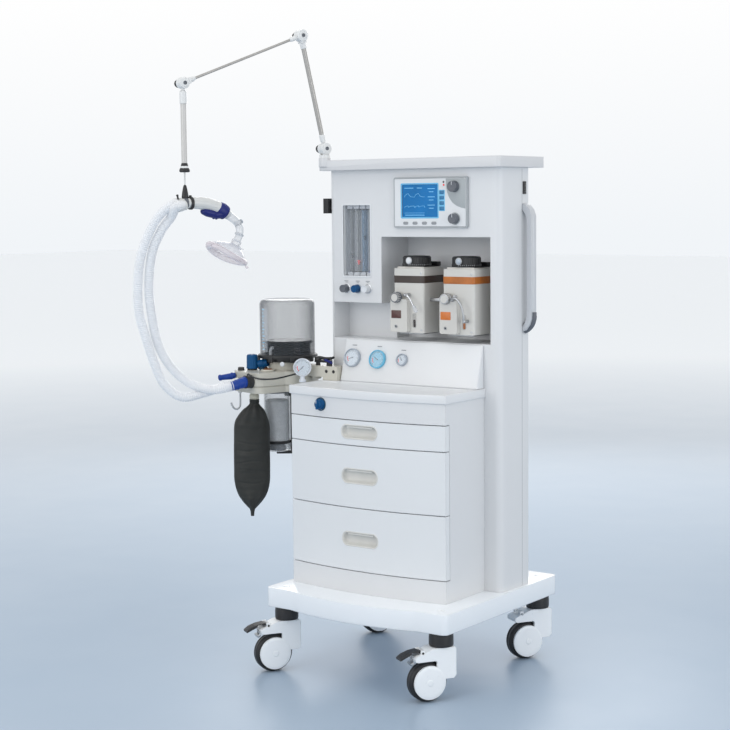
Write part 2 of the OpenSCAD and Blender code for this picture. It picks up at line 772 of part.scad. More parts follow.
// the bag hangs a little to one side of its neck
function bag_lean(t) =
  t < 0.2 ? 8 * (1 - cos(180 * t / 0.2)) / 2 : 8 + 2 * (t - 0.2) / 0.8;
module reservoir_bag() {
  top = 683.8;
  drop = 317;
  color([0.2, 0.2, 0.2]) at_abs()
    translate([bag_place[0], bag_place[1], 0]) rotate([0, 0, 54])
      loft([for (i = [0:20]) let (t = i / 20)
        [for (j = [0:15]) let (a = -22.5 * j)
          [bag_w(t) * cos(a) - bag_lean(t), bag_d(t) * sin(a), top - drop * t]]]);
}

// centre lines of the two hoses from the deck's front to the Y piece, [x, y, z]
hose_r = 11.5;
hose_paths = [
  [[-463, -171, 736], [-472, -208, 731], [-499, -262, 716], [-529, -312, 709],
    [-555, -350, 743], [-566, -376, 801], [-572, -400, 871], [-575, -420, 937],
    [-565, -433, 1006], [-545, -441, 1084], [-512, -440, 1151], [-472, -435, 1197],
    [-438, -430, 1217]],
  [[-419, -190, 743], [-433.6, -223.2, 734], [-473.3, -255.3, 726], [-516.5, -293.6, 744],
    [-545.8, -335, 790], [-560.4, -366.1, 851], [-559.2, -388.7, 923], [-550.2, -407.7, 1005],
    [-527, -418.4, 1092], [-495.1, -415.9, 1151], [-463.7, -408.1, 1186]]];
module breathing_hoses() {
  color([0.9, 0.92, 0.94]) for (pts = hose_paths) {
    path = smooth(pts, 2);
    pipe(path, [for (p = path) [hose_r, hose_r]], [0.6, -0.8, 0], 8);
  }
}

// ------------------------------------------------------------ hose arm
// Arm frame: origin on the swivel axis, +X outwards, +Y along the hinge pins.
module at_arm() {
  translate([arm_place[0], arm_place[1], 0]) rotate([0, 0, arm_yaw]) children();
}
// hinges in the arm plane, [x, z]
shoulder = [0, arm_z0];
elbow = [arm_dx1, arm_z0 + arm_dz1];
arm_end = [arm_dx1 + arm_dx2, arm_z0 + arm_dz1 + arm_dz2];
lower_dir = unit_vector([arm_dx1, arm_dz1]);
upper_dir = unit_vector([arm_dx2, arm_dz2]);
hinge_r = 3;
drop_z = 1300; // foot of the drop arm

// y spans of a pair of cheeks
function cheek_spans(inner, outer) = [[-outer, -inner], [inner, outer]];
// round rod in the arm plane between two [x, z] points
module rod(start, end, r) {
  span = end - start;
  translate([start[0], 0, start[1]]) rotate([0, atan2(span[0], span[1]), 0])
    cylinder(r = r, h = norm(span), $fn = 32);
}
// two cheeks with a pin, a bolt head on the +Y side and a hand knob on the -Y side
module cheeks(place) {
  for (span = cheek_spans(5.4, 10)) pin_y(place, 10, span[0], span[1]);
  pin_y(place, hinge_r, -11, 11);
  pin_y(place, 4.5, 9.9, 13);
  pin_y(place, 5, -14, -9.9);
  pin_y(place, 8, -24, -13.9);
}
// eye between the cheeks, with the neck that leads away from it
module eye(place, dir, neck_end, neck_r) {
  difference() {
    pin_y(place, 9, -5, 5);
    pin_y(place, hinge_r + fit, -6, 6);
  }
  difference() {
    rod(place + 6 * dir, place + neck_end * dir, neck_r);
    pin_y(place, hinge_r + fit, -6, 6);
  }
}
// square fork that joins an arm to the cheeks at its far end
module clevis(place, dir, inner, outer, start) {
  translate([place[0], 0, place[1]]) rotate([0, atan2(-dir[0], -dir[1]), 0]) {
    for (span = cheek_spans(inner, outer)) box(-7.5, 7.5, span[0], span[1], start, 20);
    box(-7.5, 7.5, -outer, outer, 14, 20);
  }
  cheeks(place);
}

module arm_base() {
  color("white") at_arm() {
    disc(shelf_z + 14, arm_stem_r, 26);
    disc(shelf_top + 6.1, 14, 8);
    for (span = cheek_spans(5.4, 10)) box(-9, 9, span[0], span[1], shelf_top + 12, arm_z0);
    cheeks(shoulder);
  }
}
module lower_arm() {
  color("white") at_arm() {
    eye(shoulder, lower_dir, 24, 4.7);
    rod(shoulder + 16 * lower_dir, elbow - 26 * lower_dir, 6);
    rod(elbow - 34 * lower_dir, elbow - 17 * lower_dir, 6.9);
    clevis(elbow, lower_dir, 5.8, 9.5, 3);
  }
}
module upper_arm() {
  color("white") at_arm() {
    eye(elbow, upper_dir, 30, 4.8);
    rod(elbow + 24 * upper_dir, arm_end - 20 * upper_dir, 3.2);
    rod(arm_end - 34 * upper_dir, arm_end - 14 * upper_dir, 5);
    clevis(arm_end, upper_dir, 5.4, 10, 0);
  }
}
module drop_arm() {
  length = arm_end[1] - drop_z;
  // half section of the turned rod, [radius, height]
  section = [[0, 0], [12, 0], [13, 2], [12.5, 6], [8, 20], [7, 21], [7, length - 52],
    [9, length - 51], [9, length - 22], [6, length - 19], [4.4, length - 17],
    [4.4, length - 5], [0, length - 5]];
  color("white") at_arm() difference() {
    union() {
      pin_y(arm_end, 9, -5, 5);
      translate([arm_end[0], 0, drop_z]) rotate_extrude($fn = 48) polygon(section);
    }
    pin_y(arm_end, hinge_r + fit, -6, 6);
  }
}
module hose_hanger() {
  cord_z = 1262;
  color([0.1, 0.1, 0.1]) at_arm() translate([arm_end[0], 0, 0]) {
    disc(cord_z, 1.5, drop_z - cord_z - 0.2, 24);
    translate([0, 0, 1234.5]) rotate_extrude($fn = 48)
      polygon([[0, 0], [9, 0], [8, 12], [5, 30], [3, 34], [0, 34]]);
  }
}

// Y piece in the arm frame, from the hoses' end inwards and down to the mask, [x, y, z]
y_path = [[424, 0, 1220.5], [404, 0, 1220.5], [390, 0, 1220.5], [380, 0, 1220],
  [366, 0, 1217], [350, 0, 1211], [332, 0, 1206.5], [316, 0, 1202], [304, 0, 1197],
  [298, 0, 1193], [286, 0, 1185.5], [270, 0, 1174], [261, 1, 1160], [259.5, 2, 1147],
  [263, 3, 1135], [269.7, 3, 1121.7]];
// [half height, half width] of each section
y_radii = [[12.5, 12.5], [13, 13], [13, 13], [15.5, 15], [18, 16], [22.5, 17], [24, 17],
  [22, 17], [20, 17], [12, 12], [11, 11], [10.5, 10.5], [10.5, 10.5], [10.5, 10.5],
  [10.5, 10.5], [10.5, 10.5]];
module y_piece() {
  color([0.85, 0.86, 0.87]) at_arm() pipe(y_path, y_radii, [0, 1, 0.01], 12);
}

// rings of the mask from the dome's top to the cushion, [scale, height, shift along X]
mask_rings = [[0.26, 37, -7], [0.55, 30, -4], [0.85, 17, -1], [1.02, 7, 0], [1.08, 0, 0],
  [1.02, -8, 0], [0.86, -11, 0]];
module face_mask() {
  half_length = 57;
  half_width = 43;
  // tilted about the direction of the hinge pins
  color([0.9, 0.92, 0.95, 0.6]) at_arm() translate([296, 3, 1087]) rotate([0, -28, 0])
    loft([for (ring = mask_rings)
      [for (j = [0:17]) let (a = -20 * j, widening = 1 + 0.08 * cos(a))
        [half_length * ring[0] * widening * cos(a) + ring[2],
          half_width * ring[0] * sin(a), ring[1]]]]);
}

base_plate();
caster_collars();
column_shell();
rear_panel();
top_shelf();
work_surface();
gauge_console();
drawer_cabinet();
flow_block();
flow_tubes();
monitor_housing();
monitor_fascia();
screen();
vaporizer_left();
vaporizer_right();
gauges();
side_handle();
side_fittings();
absorber_arm();
absorber_deck();
bellows_base();
bellows_dome();
canister();
valve_domes();
deck_ports();
reservoir_bag();
airway_gauge();
breathing_hoses();
rear_fittings();
bellows();
bellows_top();
drawer_top();
drawer_middle();
drawer_bottom();
caster_fork_fl();
caster_fork_fr();
caster_fork_bl();
caster_fork_br();
wheel_fl();
wheel_fr();
wheel_bl();
wheel_br();
brake_pedal_fl();
brake_pedal_fr();
dial_left();
dial_right();
system_switch();
apl_knob();
flow_knob_air();
flow_knob_oxygen();
flow_knob_nitrous();
monitor_knob_upper();
monitor_knob_lower();
arm_base();
lower_arm();
upper_arm();
drop_arm();
hose_hanger();
y_piece();
face_mask();
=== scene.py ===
"""Anaesthesia machine on a wheeled base, with a circle absorber, bellows and hose arm.

The frame is in metres with +Z up and the floor at z = 0. The machine faces -Y and its right
side, seen from the front, is +X. The absorber and the hose arm stand at the left (-X), toward
the front. Sizes and places in this script are in millimetres; MM turns them into metres.
"""

import json
import math

import bmesh
import bpy
from mathutils import Matrix, Vector, noise


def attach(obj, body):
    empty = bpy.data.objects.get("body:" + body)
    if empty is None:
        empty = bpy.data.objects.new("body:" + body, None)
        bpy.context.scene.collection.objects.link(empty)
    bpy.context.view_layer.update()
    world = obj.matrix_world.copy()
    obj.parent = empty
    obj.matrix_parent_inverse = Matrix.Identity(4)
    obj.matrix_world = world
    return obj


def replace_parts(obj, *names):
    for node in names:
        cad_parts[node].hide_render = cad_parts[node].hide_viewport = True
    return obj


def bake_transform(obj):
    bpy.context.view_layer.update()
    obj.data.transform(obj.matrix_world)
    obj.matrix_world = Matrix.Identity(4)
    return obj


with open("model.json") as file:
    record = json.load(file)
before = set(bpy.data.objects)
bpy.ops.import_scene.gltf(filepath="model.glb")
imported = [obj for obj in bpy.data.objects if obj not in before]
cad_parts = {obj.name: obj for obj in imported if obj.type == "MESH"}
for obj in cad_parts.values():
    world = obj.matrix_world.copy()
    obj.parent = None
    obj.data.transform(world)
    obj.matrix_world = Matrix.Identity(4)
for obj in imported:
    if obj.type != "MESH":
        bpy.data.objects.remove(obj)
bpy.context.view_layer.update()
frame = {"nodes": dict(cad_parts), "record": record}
NODES = frame["nodes"]
scene = bpy.context.scene

MM = 0.001
UP = Vector((0, 0, 1))
VIEW_TURN = 35.9  # turn about Z, in degrees, that faces a piece to the camera
# level directions to the camera's right and toward the camera
VIEW_RIGHT = Vector((0.80993, 0.58653, 0))
TO_VIEWER = Vector((0.58653, -0.80993, 0))


# ------------------------------------------------------------ shader tools
def add_node(tree, kind, inputs=None, **settings):
    """New node; each input is set to a value or linked from a socket."""
    node = tree.nodes.new(kind)
    for key, value in settings.items():
        setattr(node, key, value)
    for key, value in (inputs or {}).items():
        if isinstance(value, bpy.types.NodeSocket):
            tree.links.new(value, node.inputs[key])
        else:
            node.inputs[key].default_value = value
    return node


def map_range(tree, value, source=(0, 1), target=(0, 1)):
    inputs = {"Value": value, "From Min": source[0], "From Max": source[1],
              "To Min": target[0], "To Max": target[1]}
    return add_node(tree, "ShaderNodeMapRange", inputs).outputs["Result"]


def mix_color(tree, factor, first, second, blend="MIX"):
    inputs = {"Fac": factor, "Color1": first, "Color2": second}
    return add_node(tree, "ShaderNodeMixRGB", inputs, blend_type=blend).outputs["Color"]


def color_ramp(tree, factor, *stops):
    """Ramp between two stops, each (position, colour)."""
    node = add_node(tree, "ShaderNodeValToRGB", {"Fac": factor})
    for element, (position, color) in zip(node.color_ramp.elements, stops):
        element.position = position
        element.color = (*color, 1)
    return node.outputs["Color"]


def material(name, color, rough, variation, patch_scale, bump, grain_scale, bevel, metal=0.0,
             coat=0.0, spec=0.5, clear=None, emit=None, wear=0.0, wear_color=None, voronoi=None):
    """Material with patchy colour and roughness, fine grain, shaded round edges and worn edges.

    bevel is in millimetres. clear is (alpha facing, alpha at the rim, falloff power).
    voronoi: scale of a cell pattern in place of the grain, with shade painted at the cell edges.
    """
    mat = bpy.data.materials.new(name)
    mat.use_nodes = True
    tree = mat.node_tree
    tree.nodes.clear()
    output = add_node(tree, "ShaderNodeOutputMaterial")
    shader = add_node(tree, "ShaderNodeBsdfPrincipled")
    tree.links.new(shader.outputs["BSDF"], output.inputs["Surface"])
    coords = add_node(tree, "ShaderNodeTexCoord").outputs["Object"]

    def noise_fac(scale, detail, **more):
        inputs = {"Vector": coords, "Scale": scale, "Detail": detail, **more}
        return add_node(tree, "ShaderNodeTexNoise", inputs).outputs["Fac"]

    patches = noise_fac(patch_scale, 5.0, Roughness=0.6)
    dark = Vector(color) * (1 - variation * 1.6)
    light = [min(channel, 1.0) for channel in Vector(color) * (1 + variation * 0.7)]
    base = color_ramp(tree, patches, (0.3, dark), (0.7, light))
    mottle = noise_fac(patch_scale * 7, 6.0)
    roughness = map_range(tree, mottle, (0.3, 0.7),
                          (max(rough * 0.9, 0.02), min(rough * 1.12, 1.0)))
    tree.links.new(roughness, shader.inputs["Roughness"])

    bump_inputs = {"Strength": bump}
    if bevel:
        rounded_normal = add_node(tree, "ShaderNodeBevel", {"Radius": bevel * MM},
                                  samples=4).outputs["Normal"]
        bump_inputs["Normal"] = rounded_normal
        if wear:
            true_normal = add_node(tree, "ShaderNodeNewGeometry").outputs["Normal"]
            likeness = add_node(tree, "ShaderNodeVectorMath",
                                {0: rounded_normal, 1: true_normal}, operation="DOT_PRODUCT")
            edge = map_range(tree, likeness.outputs["Value"], (0.995, 0.85), (0.0, wear))
            broken = add_node(tree, "ShaderNodeMath", {0: edge, 1: mottle}, operation="MULTIPLY")
            worn = wear_color or [min(channel * 1.5 + 0.05, 1) for channel in color]
            base = mix_color(tree, broken.outputs["Value"], base, (*worn, 1))
    if bump:
        if voronoi:
            height = add_node(tree, "ShaderNodeTexVoronoi",
                              {"Vector": coords, "Scale": voronoi}).outputs["Distance"]
            # granule cells darken toward their edges: painted shade between the grains
            shade = map_range(tree, height, (0, 0.7), (1.10, 0.70))
            base = mix_color(tree, 1.0, base, shade, "MULTIPLY")
            depth = 1.5
        else:
            height = noise_fac(grain_scale, 3.0)
            depth = 0.07
        bump_inputs.update({"Distance": depth * MM, "Height": height})
        bumped = add_node(tree, "ShaderNodeBump", bump_inputs)
        tree.links.new(bumped.outputs["Normal"], shader.inputs["Normal"])
    tree.links.new(base, shader.inputs["Base Color"])
    for key, value in (("Metallic", metal), ("Specular IOR Level", spec),
                       ("Coat Weight", coat), ("Coat Roughness", 0.12)):
        shader.inputs[key].default_value = value
    if emit:
        tree.links.new(base, shader.inputs["Emission Color"])
        shader.inputs["Emission Strength"].default_value = emit
    if clear:
        facing = add_node(tree, "ShaderNodeLayerWeight", {"Blend": 0.5}).outputs["Facing"]
        power = add_node(tree, "ShaderNodeMath", {0: facing, 1: clear[2]}, operation="POWER")
        alpha = map_range(tree, power.outputs["Value"], target=clear[:2])
        tree.links.new(alpha, shader.inputs["Alpha"])
        mat.blend_method = "BLEND"
    mat.diffuse_color = (*color, 1)
    return mat


# ---------------------------------------------------------------- finishes
# name, colour, roughness, colour variation, patch scale, bump, grain scale, bevel, the rest
FINISH_TABLE = (
    ("paint_white", (0.715, 0.722, 0.732), 0.38, 0.006, 9, 0.08, 900, 2.0,
     dict(coat=0.08, wear=0.2, wear_color=(0.84, 0.85, 0.86))),
    ("shelf_paint", (0.66, 0.662, 0.672), 0.38, 0.006, 9, 0.08, 900, 3.0,
     dict(coat=0.08, wear=0.2, wear_color=(0.80, 0.80, 0.81))),
    ("shell_plastic", (0.75, 0.76, 0.772), 0.34, 0.006, 9, 0.05, 500, 3.0,
     dict(coat=0.10, wear=0.2, wear_color=(0.88, 0.89, 0.90))),
    ("drawer_plastic", (0.755, 0.77, 0.782), 0.34, 0.006, 9, 0.05, 600, 2.2,
     dict(coat=0.10, wear=0.2, wear_color=(0.88, 0.89, 0.90))),
    ("base_gloss", (0.86, 0.89, 0.92), 0.24, 0.006, 9, 0.03, 400, 4.0,
     dict(coat=0.3, wear=0.2, wear_color=(0.97, 0.98, 0.98))),
    ("caster_black", (0.022, 0.021, 0.022), 0.42, 0.10, 30, 0.25, 1500, 1.6,
     dict(wear=0.5, wear_color=(0.10, 0.10, 0.11))),
    ("caster_white", (0.90, 0.92, 0.935), 0.30, 0.006, 12, 0.03, 700, 2.2,
     dict(coat=0.2, wear=0.12, wear_color=(0.95, 0.95, 0.96))),
    ("tyre", (0.018, 0.018, 0.020), 0.50, 0.15, 40, 0.30, 1800, 0.8,
     dict(wear=0.4, wear_color=(0.07, 0.07, 0.07))),
    ("flow_tray", (0.58, 0.60, 0.64), 0.36, 0.04, 9, 0.08, 700, 0.6, {}),
    ("clear_tube", (0.80, 0.86, 0.92), 0.08, 0.02, 9, 0.02, 700, 0,
     dict(clear=(0.05, 0.60, 1.6), coat=0.3)),
    ("tube_blue", (0.16, 0.42, 0.72), 0.08, 0.02, 9, 0.02, 700, 0,
     dict(clear=(0.10, 0.70, 1.5), coat=0.3)),
    ("monitor_grey", (0.42, 0.445, 0.46), 0.40, 0.03, 9, 0.14, 1300, 1.0, dict(wear=0.3)),
    ("monitor_white", (0.74, 0.755, 0.77), 0.36, 0.01, 9, 0.08, 1400, 0.7, {}),
    ("monitor_mid", (0.40, 0.43, 0.44), 0.40, 0.02, 9, 0.08, 1400, 0.4, {}),
    ("screen_glass", (0.0, 0.120, 0.33), 0.16, 0.10, 14, 0.01, 700, 0.4,
     dict(emit=0.42, coat=0.2, spec=0.3)),
    ("screen_trace", (0.22, 0.58, 0.82), 0.30, 0.05, 9, 0.01, 700, 0, dict(emit=0.45)),
    ("key_strip", (0.16, 0.52, 0.80), 0.34, 0.03, 9, 0.05, 700, 0.4, {}),
    ("key_blue", (0.015, 0.17, 0.36), 0.36, 0.04, 9, 0.08, 700, 0.4, {}),
    ("key_grey", (0.30, 0.315, 0.33), 0.40, 0.05, 9, 0.1, 700, 0.4, {}),
    ("led_red", (0.65, 0.03, 0.02), 0.2, 0.05, 9, 0.01, 700, 0.2, dict(emit=0.5)),
    ("led_dark", (0.06, 0.05, 0.05), 0.25, 0.05, 9, 0.01, 700, 0.2, {}),
    ("vapor_cream", (0.63, 0.615, 0.58), 0.36, 0.02, 9, 0.10, 1100, 2.0,
     dict(coat=0.12, wear=0.3, wear_color=(0.80, 0.79, 0.75))),
    ("band_brown", (0.055, 0.038, 0.032), 0.36, 0.12, 30, 0.08, 700, 0.5, {}),
    ("band_orange", (0.50, 0.150, 0.022), 0.34, 0.16, 26, 0.08, 700, 0.5, {}),
    ("label_brown", (0.085, 0.030, 0.025), 0.34, 0.10, 60, 0.05, 700, 0.4, {}),
    ("label_orange", (0.66, 0.175, 0.025), 0.34, 0.10, 60, 0.05, 700, 0.4, {}),
    ("bright_metal", (0.66, 0.67, 0.69), 0.20, 0.05, 60, 0.05, 2200, 0.8, dict(metal=1.0)),
    ("satin_metal", (0.48, 0.49, 0.50), 0.36, 0.06, 50, 0.10, 2600, 0.8, dict(metal=1.0)),
    ("handle_grey", (0.62, 0.635, 0.66), 0.34, 0.03, 9, 0.08, 2000, 2.0, dict(metal=0.35)),
    ("black_plastic", (0.014, 0.014, 0.015), 0.40, 0.12, 30, 0.22, 1700, 1.2,
     dict(wear=0.4, wear_color=(0.07, 0.07, 0.075))),
    ("black_gloss", (0.010, 0.010, 0.011), 0.16, 0.10, 30, 0.04, 900, 1.0, dict(coat=0.5)),
    ("absorber_ivory", (0.565, 0.545, 0.475), 0.34, 0.025, 9, 0.12, 900, 2.5,
     dict(coat=0.2, wear=0.35, wear_color=(0.74, 0.72, 0.65))),
    ("neck_beige", (0.60, 0.565, 0.46), 0.36, 0.03, 9, 0.10, 1200, 0.8, {}),
    ("clear_dome", (0.13, 0.143, 0.158), 0.09, 0.03, 20, 0.015, 80, 0,
     dict(clear=(0.15, 0.78, 1.8), coat=0.12, spec=0.35)),
    ("clear_can", (0.60, 0.62, 0.635), 0.08, 0.03, 20, 0.015, 80, 0,
     dict(clear=(0.12, 0.70, 1.7), coat=0.5)),
    ("granules", (0.86, 0.87, 0.88), 0.70, 0.06, 60, 0.35, 700, 0, dict(voronoi=520.0)),
    ("valve_amber", (0.27, 0.115, 0.050), 0.70, 0.12, 60, 0.05, 700, 0.6, dict(spec=0.08)),
    ("bag_rubber", (0.030, 0.031, 0.028), 0.50, 0.18, 14, 0.35, 420, 0, dict(spec=0.35)),
    ("gauge_white", (0.72, 0.755, 0.81), 0.26, 0.02, 30, 0.06, 700, 1.2, dict(coat=0.3)),
    ("dial_face", (0.70, 0.76, 0.82), 0.35, 0.02, 9, 0.03, 700, 0, {}),
    ("dial_face_blue", (0.33, 0.62, 0.78), 0.35, 0.03, 9, 0.03, 700, 0, {}),
    ("ring_grey", (0.42, 0.47, 0.53), 0.30, 0.04, 40, 0.08, 700, 0.6, dict(metal=0.3)),
    ("ring_blue", (0.12, 0.48, 0.70), 0.28, 0.04, 40, 0.08, 700, 0.6, dict(coat=0.3)),
    ("lens", (0.85, 0.90, 0.94), 0.04, 0.01, 9, 0.01, 700, 0,
     dict(clear=(0.06, 0.7, 2.0), coat=0.8)),
    ("ink", (0.03, 0.04, 0.05), 0.5, 0.05, 9, 0.02, 700, 0, {}),
    ("hose_clear", (0.92, 0.93, 0.95), 0.32, 0.03, 22, 0.08, 1600, 0,
     dict(clear=(0.70, 0.95, 1.0), coat=0.15)),
    ("hose_fitting", (0.66, 0.665, 0.65), 0.32, 0.03, 25, 0.08, 700, 0.8, dict(coat=0.2)),
    ("blue_deep", (0.010, 0.018, 0.155), 0.34, 0.10, 40, 0.10, 700, 1.0,
     dict(coat=0.05, spec=0.3)),
    ("blue_cone", (0.008, 0.050, 0.31), 0.32, 0.10, 40, 0.08, 700, 0.8,
     dict(coat=0.05, spec=0.3)),
    ("bellows_rubber", (0.004, 0.004, 0.0045), 0.66, 0.14, 30, 0.22, 1300, 0, dict(spec=0.10)),
    ("dial_black", (0.010, 0.010, 0.011), 0.34, 0.12, 30, 0.18, 1500, 0.8, {}),
    ("teal_plastic", (0.000, 0.070, 0.205), 0.40, 0.07, 30, 0.08, 900, 1.2,
     dict(spec=0.25, wear=0.3, wear_color=(0.03, 0.22, 0.40))),
    ("teal_dark", (0.000, 0.055, 0.11), 0.34, 0.08, 30, 0.08, 700, 0.8, {}),
    ("knob_grey", (0.115, 0.125, 0.145), 0.36, 0.08, 40, 0.12, 700, 0.8, dict(coat=0.1)),
    ("knob_white", (0.70, 0.72, 0.75), 0.28, 0.03, 40, 0.08, 700, 0.8, dict(coat=0.2)),
    ("arm_white", (0.74, 0.745, 0.74), 0.28, 0.02, 25, 0.06, 700, 1.0, dict(coat=0.2)),
    ("arm_tube", (0.42, 0.405, 0.385), 0.34, 0.04, 25, 0.05, 700, 0.4, dict(metal=0.55)),
    ("arm_beige", (0.58, 0.565, 0.545), 0.34, 0.03, 25, 0.05, 700, 0.4, dict(metal=0.10)),
    ("mask_clear", (0.80, 0.80, 0.84), 0.10, 0.03, 20, 0.04, 150, 0,
     dict(clear=(0.12, 0.80, 1.3), coat=0.5)),
    ("mask_cushion", (0.80, 0.72, 0.75), 0.20, 0.05, 25, 0.06, 250, 0,
     dict(clear=(0.38, 0.88, 1.1), coat=0.4)),
    ("elbow_clear", (0.74, 0.76, 0.79), 0.10, 0.03, 25, 0.03, 700, 0,
     dict(clear=(0.35, 0.92, 1.1), coat=0.5)),
    # pull recesses: a beige tone set darker than the drawers, partly painted shade of the scoop
    ("recess_beige", (0.68, 0.67, 0.635), 0.45, 0.03, 30, 0.10, 700, 0, {}),
    ("seam_dark", (0.25, 0.26, 0.27), 0.6, 0.08, 9, 0.05, 700, 0, {}),
    ("screw_steel", (0.55, 0.56, 0.57), 0.30, 0.05, 120, 0.1, 700, 0.3, dict(metal=1.0)),
)
FINISH = {row[0]: material(*row[:-1], **row[-1]) for row in FINISH_TABLE}


# ------------------------------------------------------------------ places
def at(point):
    return Matrix.Translation(Vector(point) * MM)


def move(x=0, y=0, z=0):
    return at((x, y, z))


def turn(axis, degrees):
    return Matrix.Rotation(math.radians(degrees), 4, axis)


def to_front(x, y, z):
    """Place whose local Z points to the machine's front (-Y) and local Y up."""
    return move(x, y, z) @ turn("X", 90)


def to_rear(x, y, z):
    return move(x, y, z) @ turn("X", -90)


def align(point, direction):
    """Place at point whose local Z lies along direction."""
    aim = Vector(direction).normalized().to_track_quat("Z", "Y")
    return at(point) @ aim.to_matrix().to_4x4()


# -------------------------------------------------------------- mesh tools
def finish_mesh(ob, finish, angle=38):
    data = ob.data
    data.materials.clear()
    data.materials.append(FINISH[finish])
    for face in data.polygons:
        face.use_smooth = True
    data.set_sharp_from_angle(angle=math.radians(angle))


def add_piece(name, mesh, finish, place=None, body="root", angle=38):
    bmesh.ops.remove_doubles(mesh, verts=mesh.verts, dist=1e-7)
    bmesh.ops.recalc_face_normals(mesh, faces=mesh.faces)
    data = bpy.data.meshes.new(name)
    mesh.to_mesh(data)
    mesh.free()
    data.transform((place or Matrix.Identity(4)) @ Matrix.Scale(MM, 4))
    ob = bpy.data.objects.new(name, data)
    scene.collection.objects.link(ob)
    finish_mesh(ob, finish, angle)
    if body:
        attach(ob, body)
    return ob


def bridge(mesh, rings, caps=()):
    """Joins rings of equal counts with quads and closes the rings numbered in caps."""
    for ring, after in zip(rings, rings[1:]):
        for j in range(len(ring)):
            k = (j + 1) % len(ring)
            mesh.faces.new((ring[j], ring[k], after[k], after[j]))
    for i in caps:
        mesh.faces.new(rings[i])


def rounded(mesh, radius, segments):
    """Rounds the edges sharper than 30 degrees."""
    edges = [edge for edge in mesh.edges
             if len(edge.link_faces) == 2 and edge.calc_face_angle(0) > math.radians(30)]
    if edges and radius > 0:
        bmesh.ops.bevel(mesh, geom=edges, offset=radius, segments=segments, profile=0.5,
                        affect="EDGES", clamp_overlap=True)


def box(name, xs, ys, zs, radius, finish, place=None, body="root", seg=3):
    """Rounded box between the two limits given for each axis."""
    mesh = bmesh.new()
    bmesh.ops.create_cube(mesh, size=1)
    for vert in mesh.verts:
        vert.co = [(low + high) / 2 + part * (high - low)
                   for part, (low, high) in zip(vert.co, (xs, ys, zs))]
    rounded(mesh, radius, seg)
    return add_piece(name, mesh, finish, place, body)


def boxes(name, parts, finish, place=None, body="root"):
    """One piece from many boxes, each (centre, half sizes, optional rotation)."""
    mesh = bmesh.new()
    for centre, half, *rotation in parts:
        for vert in bmesh.ops.create_cube(mesh, size=2)["verts"]:
            corner = Vector([part * size for part, size in zip(vert.co, half)])
            for matrix in rotation:
                corner = matrix @ corner
            vert.co = corner + Vector(centre)
    return add_piece(name, mesh, finish, place, body)


def prism(name, points, z0, z1, radius, finish, place=None, body="root"):
    """Plate with the outline points, between z0 and z1, with rounded rims."""
    mesh = bmesh.new()
    bottom = [mesh.verts.new((x, y, z0)) for x, y in points]
    top = [mesh.verts.new((x, y, z1)) for x, y in points]
    mesh.faces.new(bottom)
    mesh.faces.new(top)
    bridge(mesh, [bottom, top])
    bmesh.ops.recalc_face_normals(mesh, faces=mesh.faces)
    rounded(mesh, radius, 2)
    return add_piece(name, mesh, finish, place, body)


def round_rect(x0, y0, x1, y1, radius, steps=6):
    points = []
    for x, y, start in ((x1 - radius, y1 - radius, 0), (x0 + radius, y1 - radius, 90),
                        (x0 + radius, y0 + radius, 180), (x1 - radius, y0 + radius, 270)):
        for i in range(steps + 1):
            angle = math.radians(start + 90 * i / steps)
            points.append((x + radius * math.cos(angle), y + radius * math.sin(angle)))
    return points


def loop_mesh(levels):
    """Closed frame whose section runs through the levels, each (outline, z)."""
    mesh = bmesh.new()
    rings = [[mesh.verts.new((x, y, z)) for x, y in outline] for outline, z in levels]
    bridge(mesh, rings + rings[:1])
    return mesh


def fillet(profile, steps=4):
    """Rounds the corners of a polyline of (r, z) or (r, z, corner radius) points."""
    points = []
    for i, entry in enumerate(profile):
        radius = entry[2] if len(entry) > 2 else 0
        if radius <= 0 or i == 0 or i == len(profile) - 1:
            points.append((entry[0], entry[1]))
            continue
        corner = Vector(entry[:2])
        before = Vector(profile[i - 1][:2]) - corner
        after = Vector(profile[i + 1][:2]) - corner
        reach = min(radius, before.length * 0.49, after.length * 0.49)
        start = corner + before.normalized() * reach
        end = corner + after.normalized() * reach
        for j in range(steps + 1):
            t = j / steps
            point = start * (1 - t) ** 2 + corner * 2 * t * (1 - t) + end * t * t
            points.append((point.x, point.y))
    return points


def lathe(name, profile, finish, place=None, body="root", seg=48, ribs=None,
          angle=38):
    """Revolves (r, z) points about Z. ribs is (count, depth, lowest z, highest z)."""
    profile = fillet(profile)
    if ribs:
        count, depth, rib_low, rib_high = ribs
        seg = count * 6
    mesh = bmesh.new()
    rings = []
    for radius, z in profile:
        if radius < 1e-6:
            rings.append([mesh.verts.new((0, 0, z))])
            continue
        ring = []
        for j in range(seg):
            around = 2 * math.pi * j / seg
            reach = radius
            if ribs and rib_low <= z <= rib_high:
                reach -= depth * (0.5 - 0.5 * math.cos(count * around)) ** 2
            ring.append(mesh.verts.new((reach * math.cos(around), reach * math.sin(around), z)))
        rings.append(ring)
    for ring, after in zip(rings, rings[1:]):
        if len(ring) == len(after) == 1:
            continue
        if len(ring) == len(after):
            bridge(mesh, [ring, after])
            continue
        for j in range(seg):
            k = (j + 1) % seg
            if len(ring) == 1:
                mesh.faces.new((ring[0], after[j], after[k]))
            else:
                mesh.faces.new((ring[j], ring[k], after[0]))
    if len(rings[0]) > 1 and len(rings[-1]) > 1:
        if (Vector(profile[0]) - Vector(profile[-1])).length > 1e-6:
            for ring in (rings[0], rings[-1]):
                mesh.faces.new(ring)
    return add_piece(name, mesh, finish, place, body, angle)


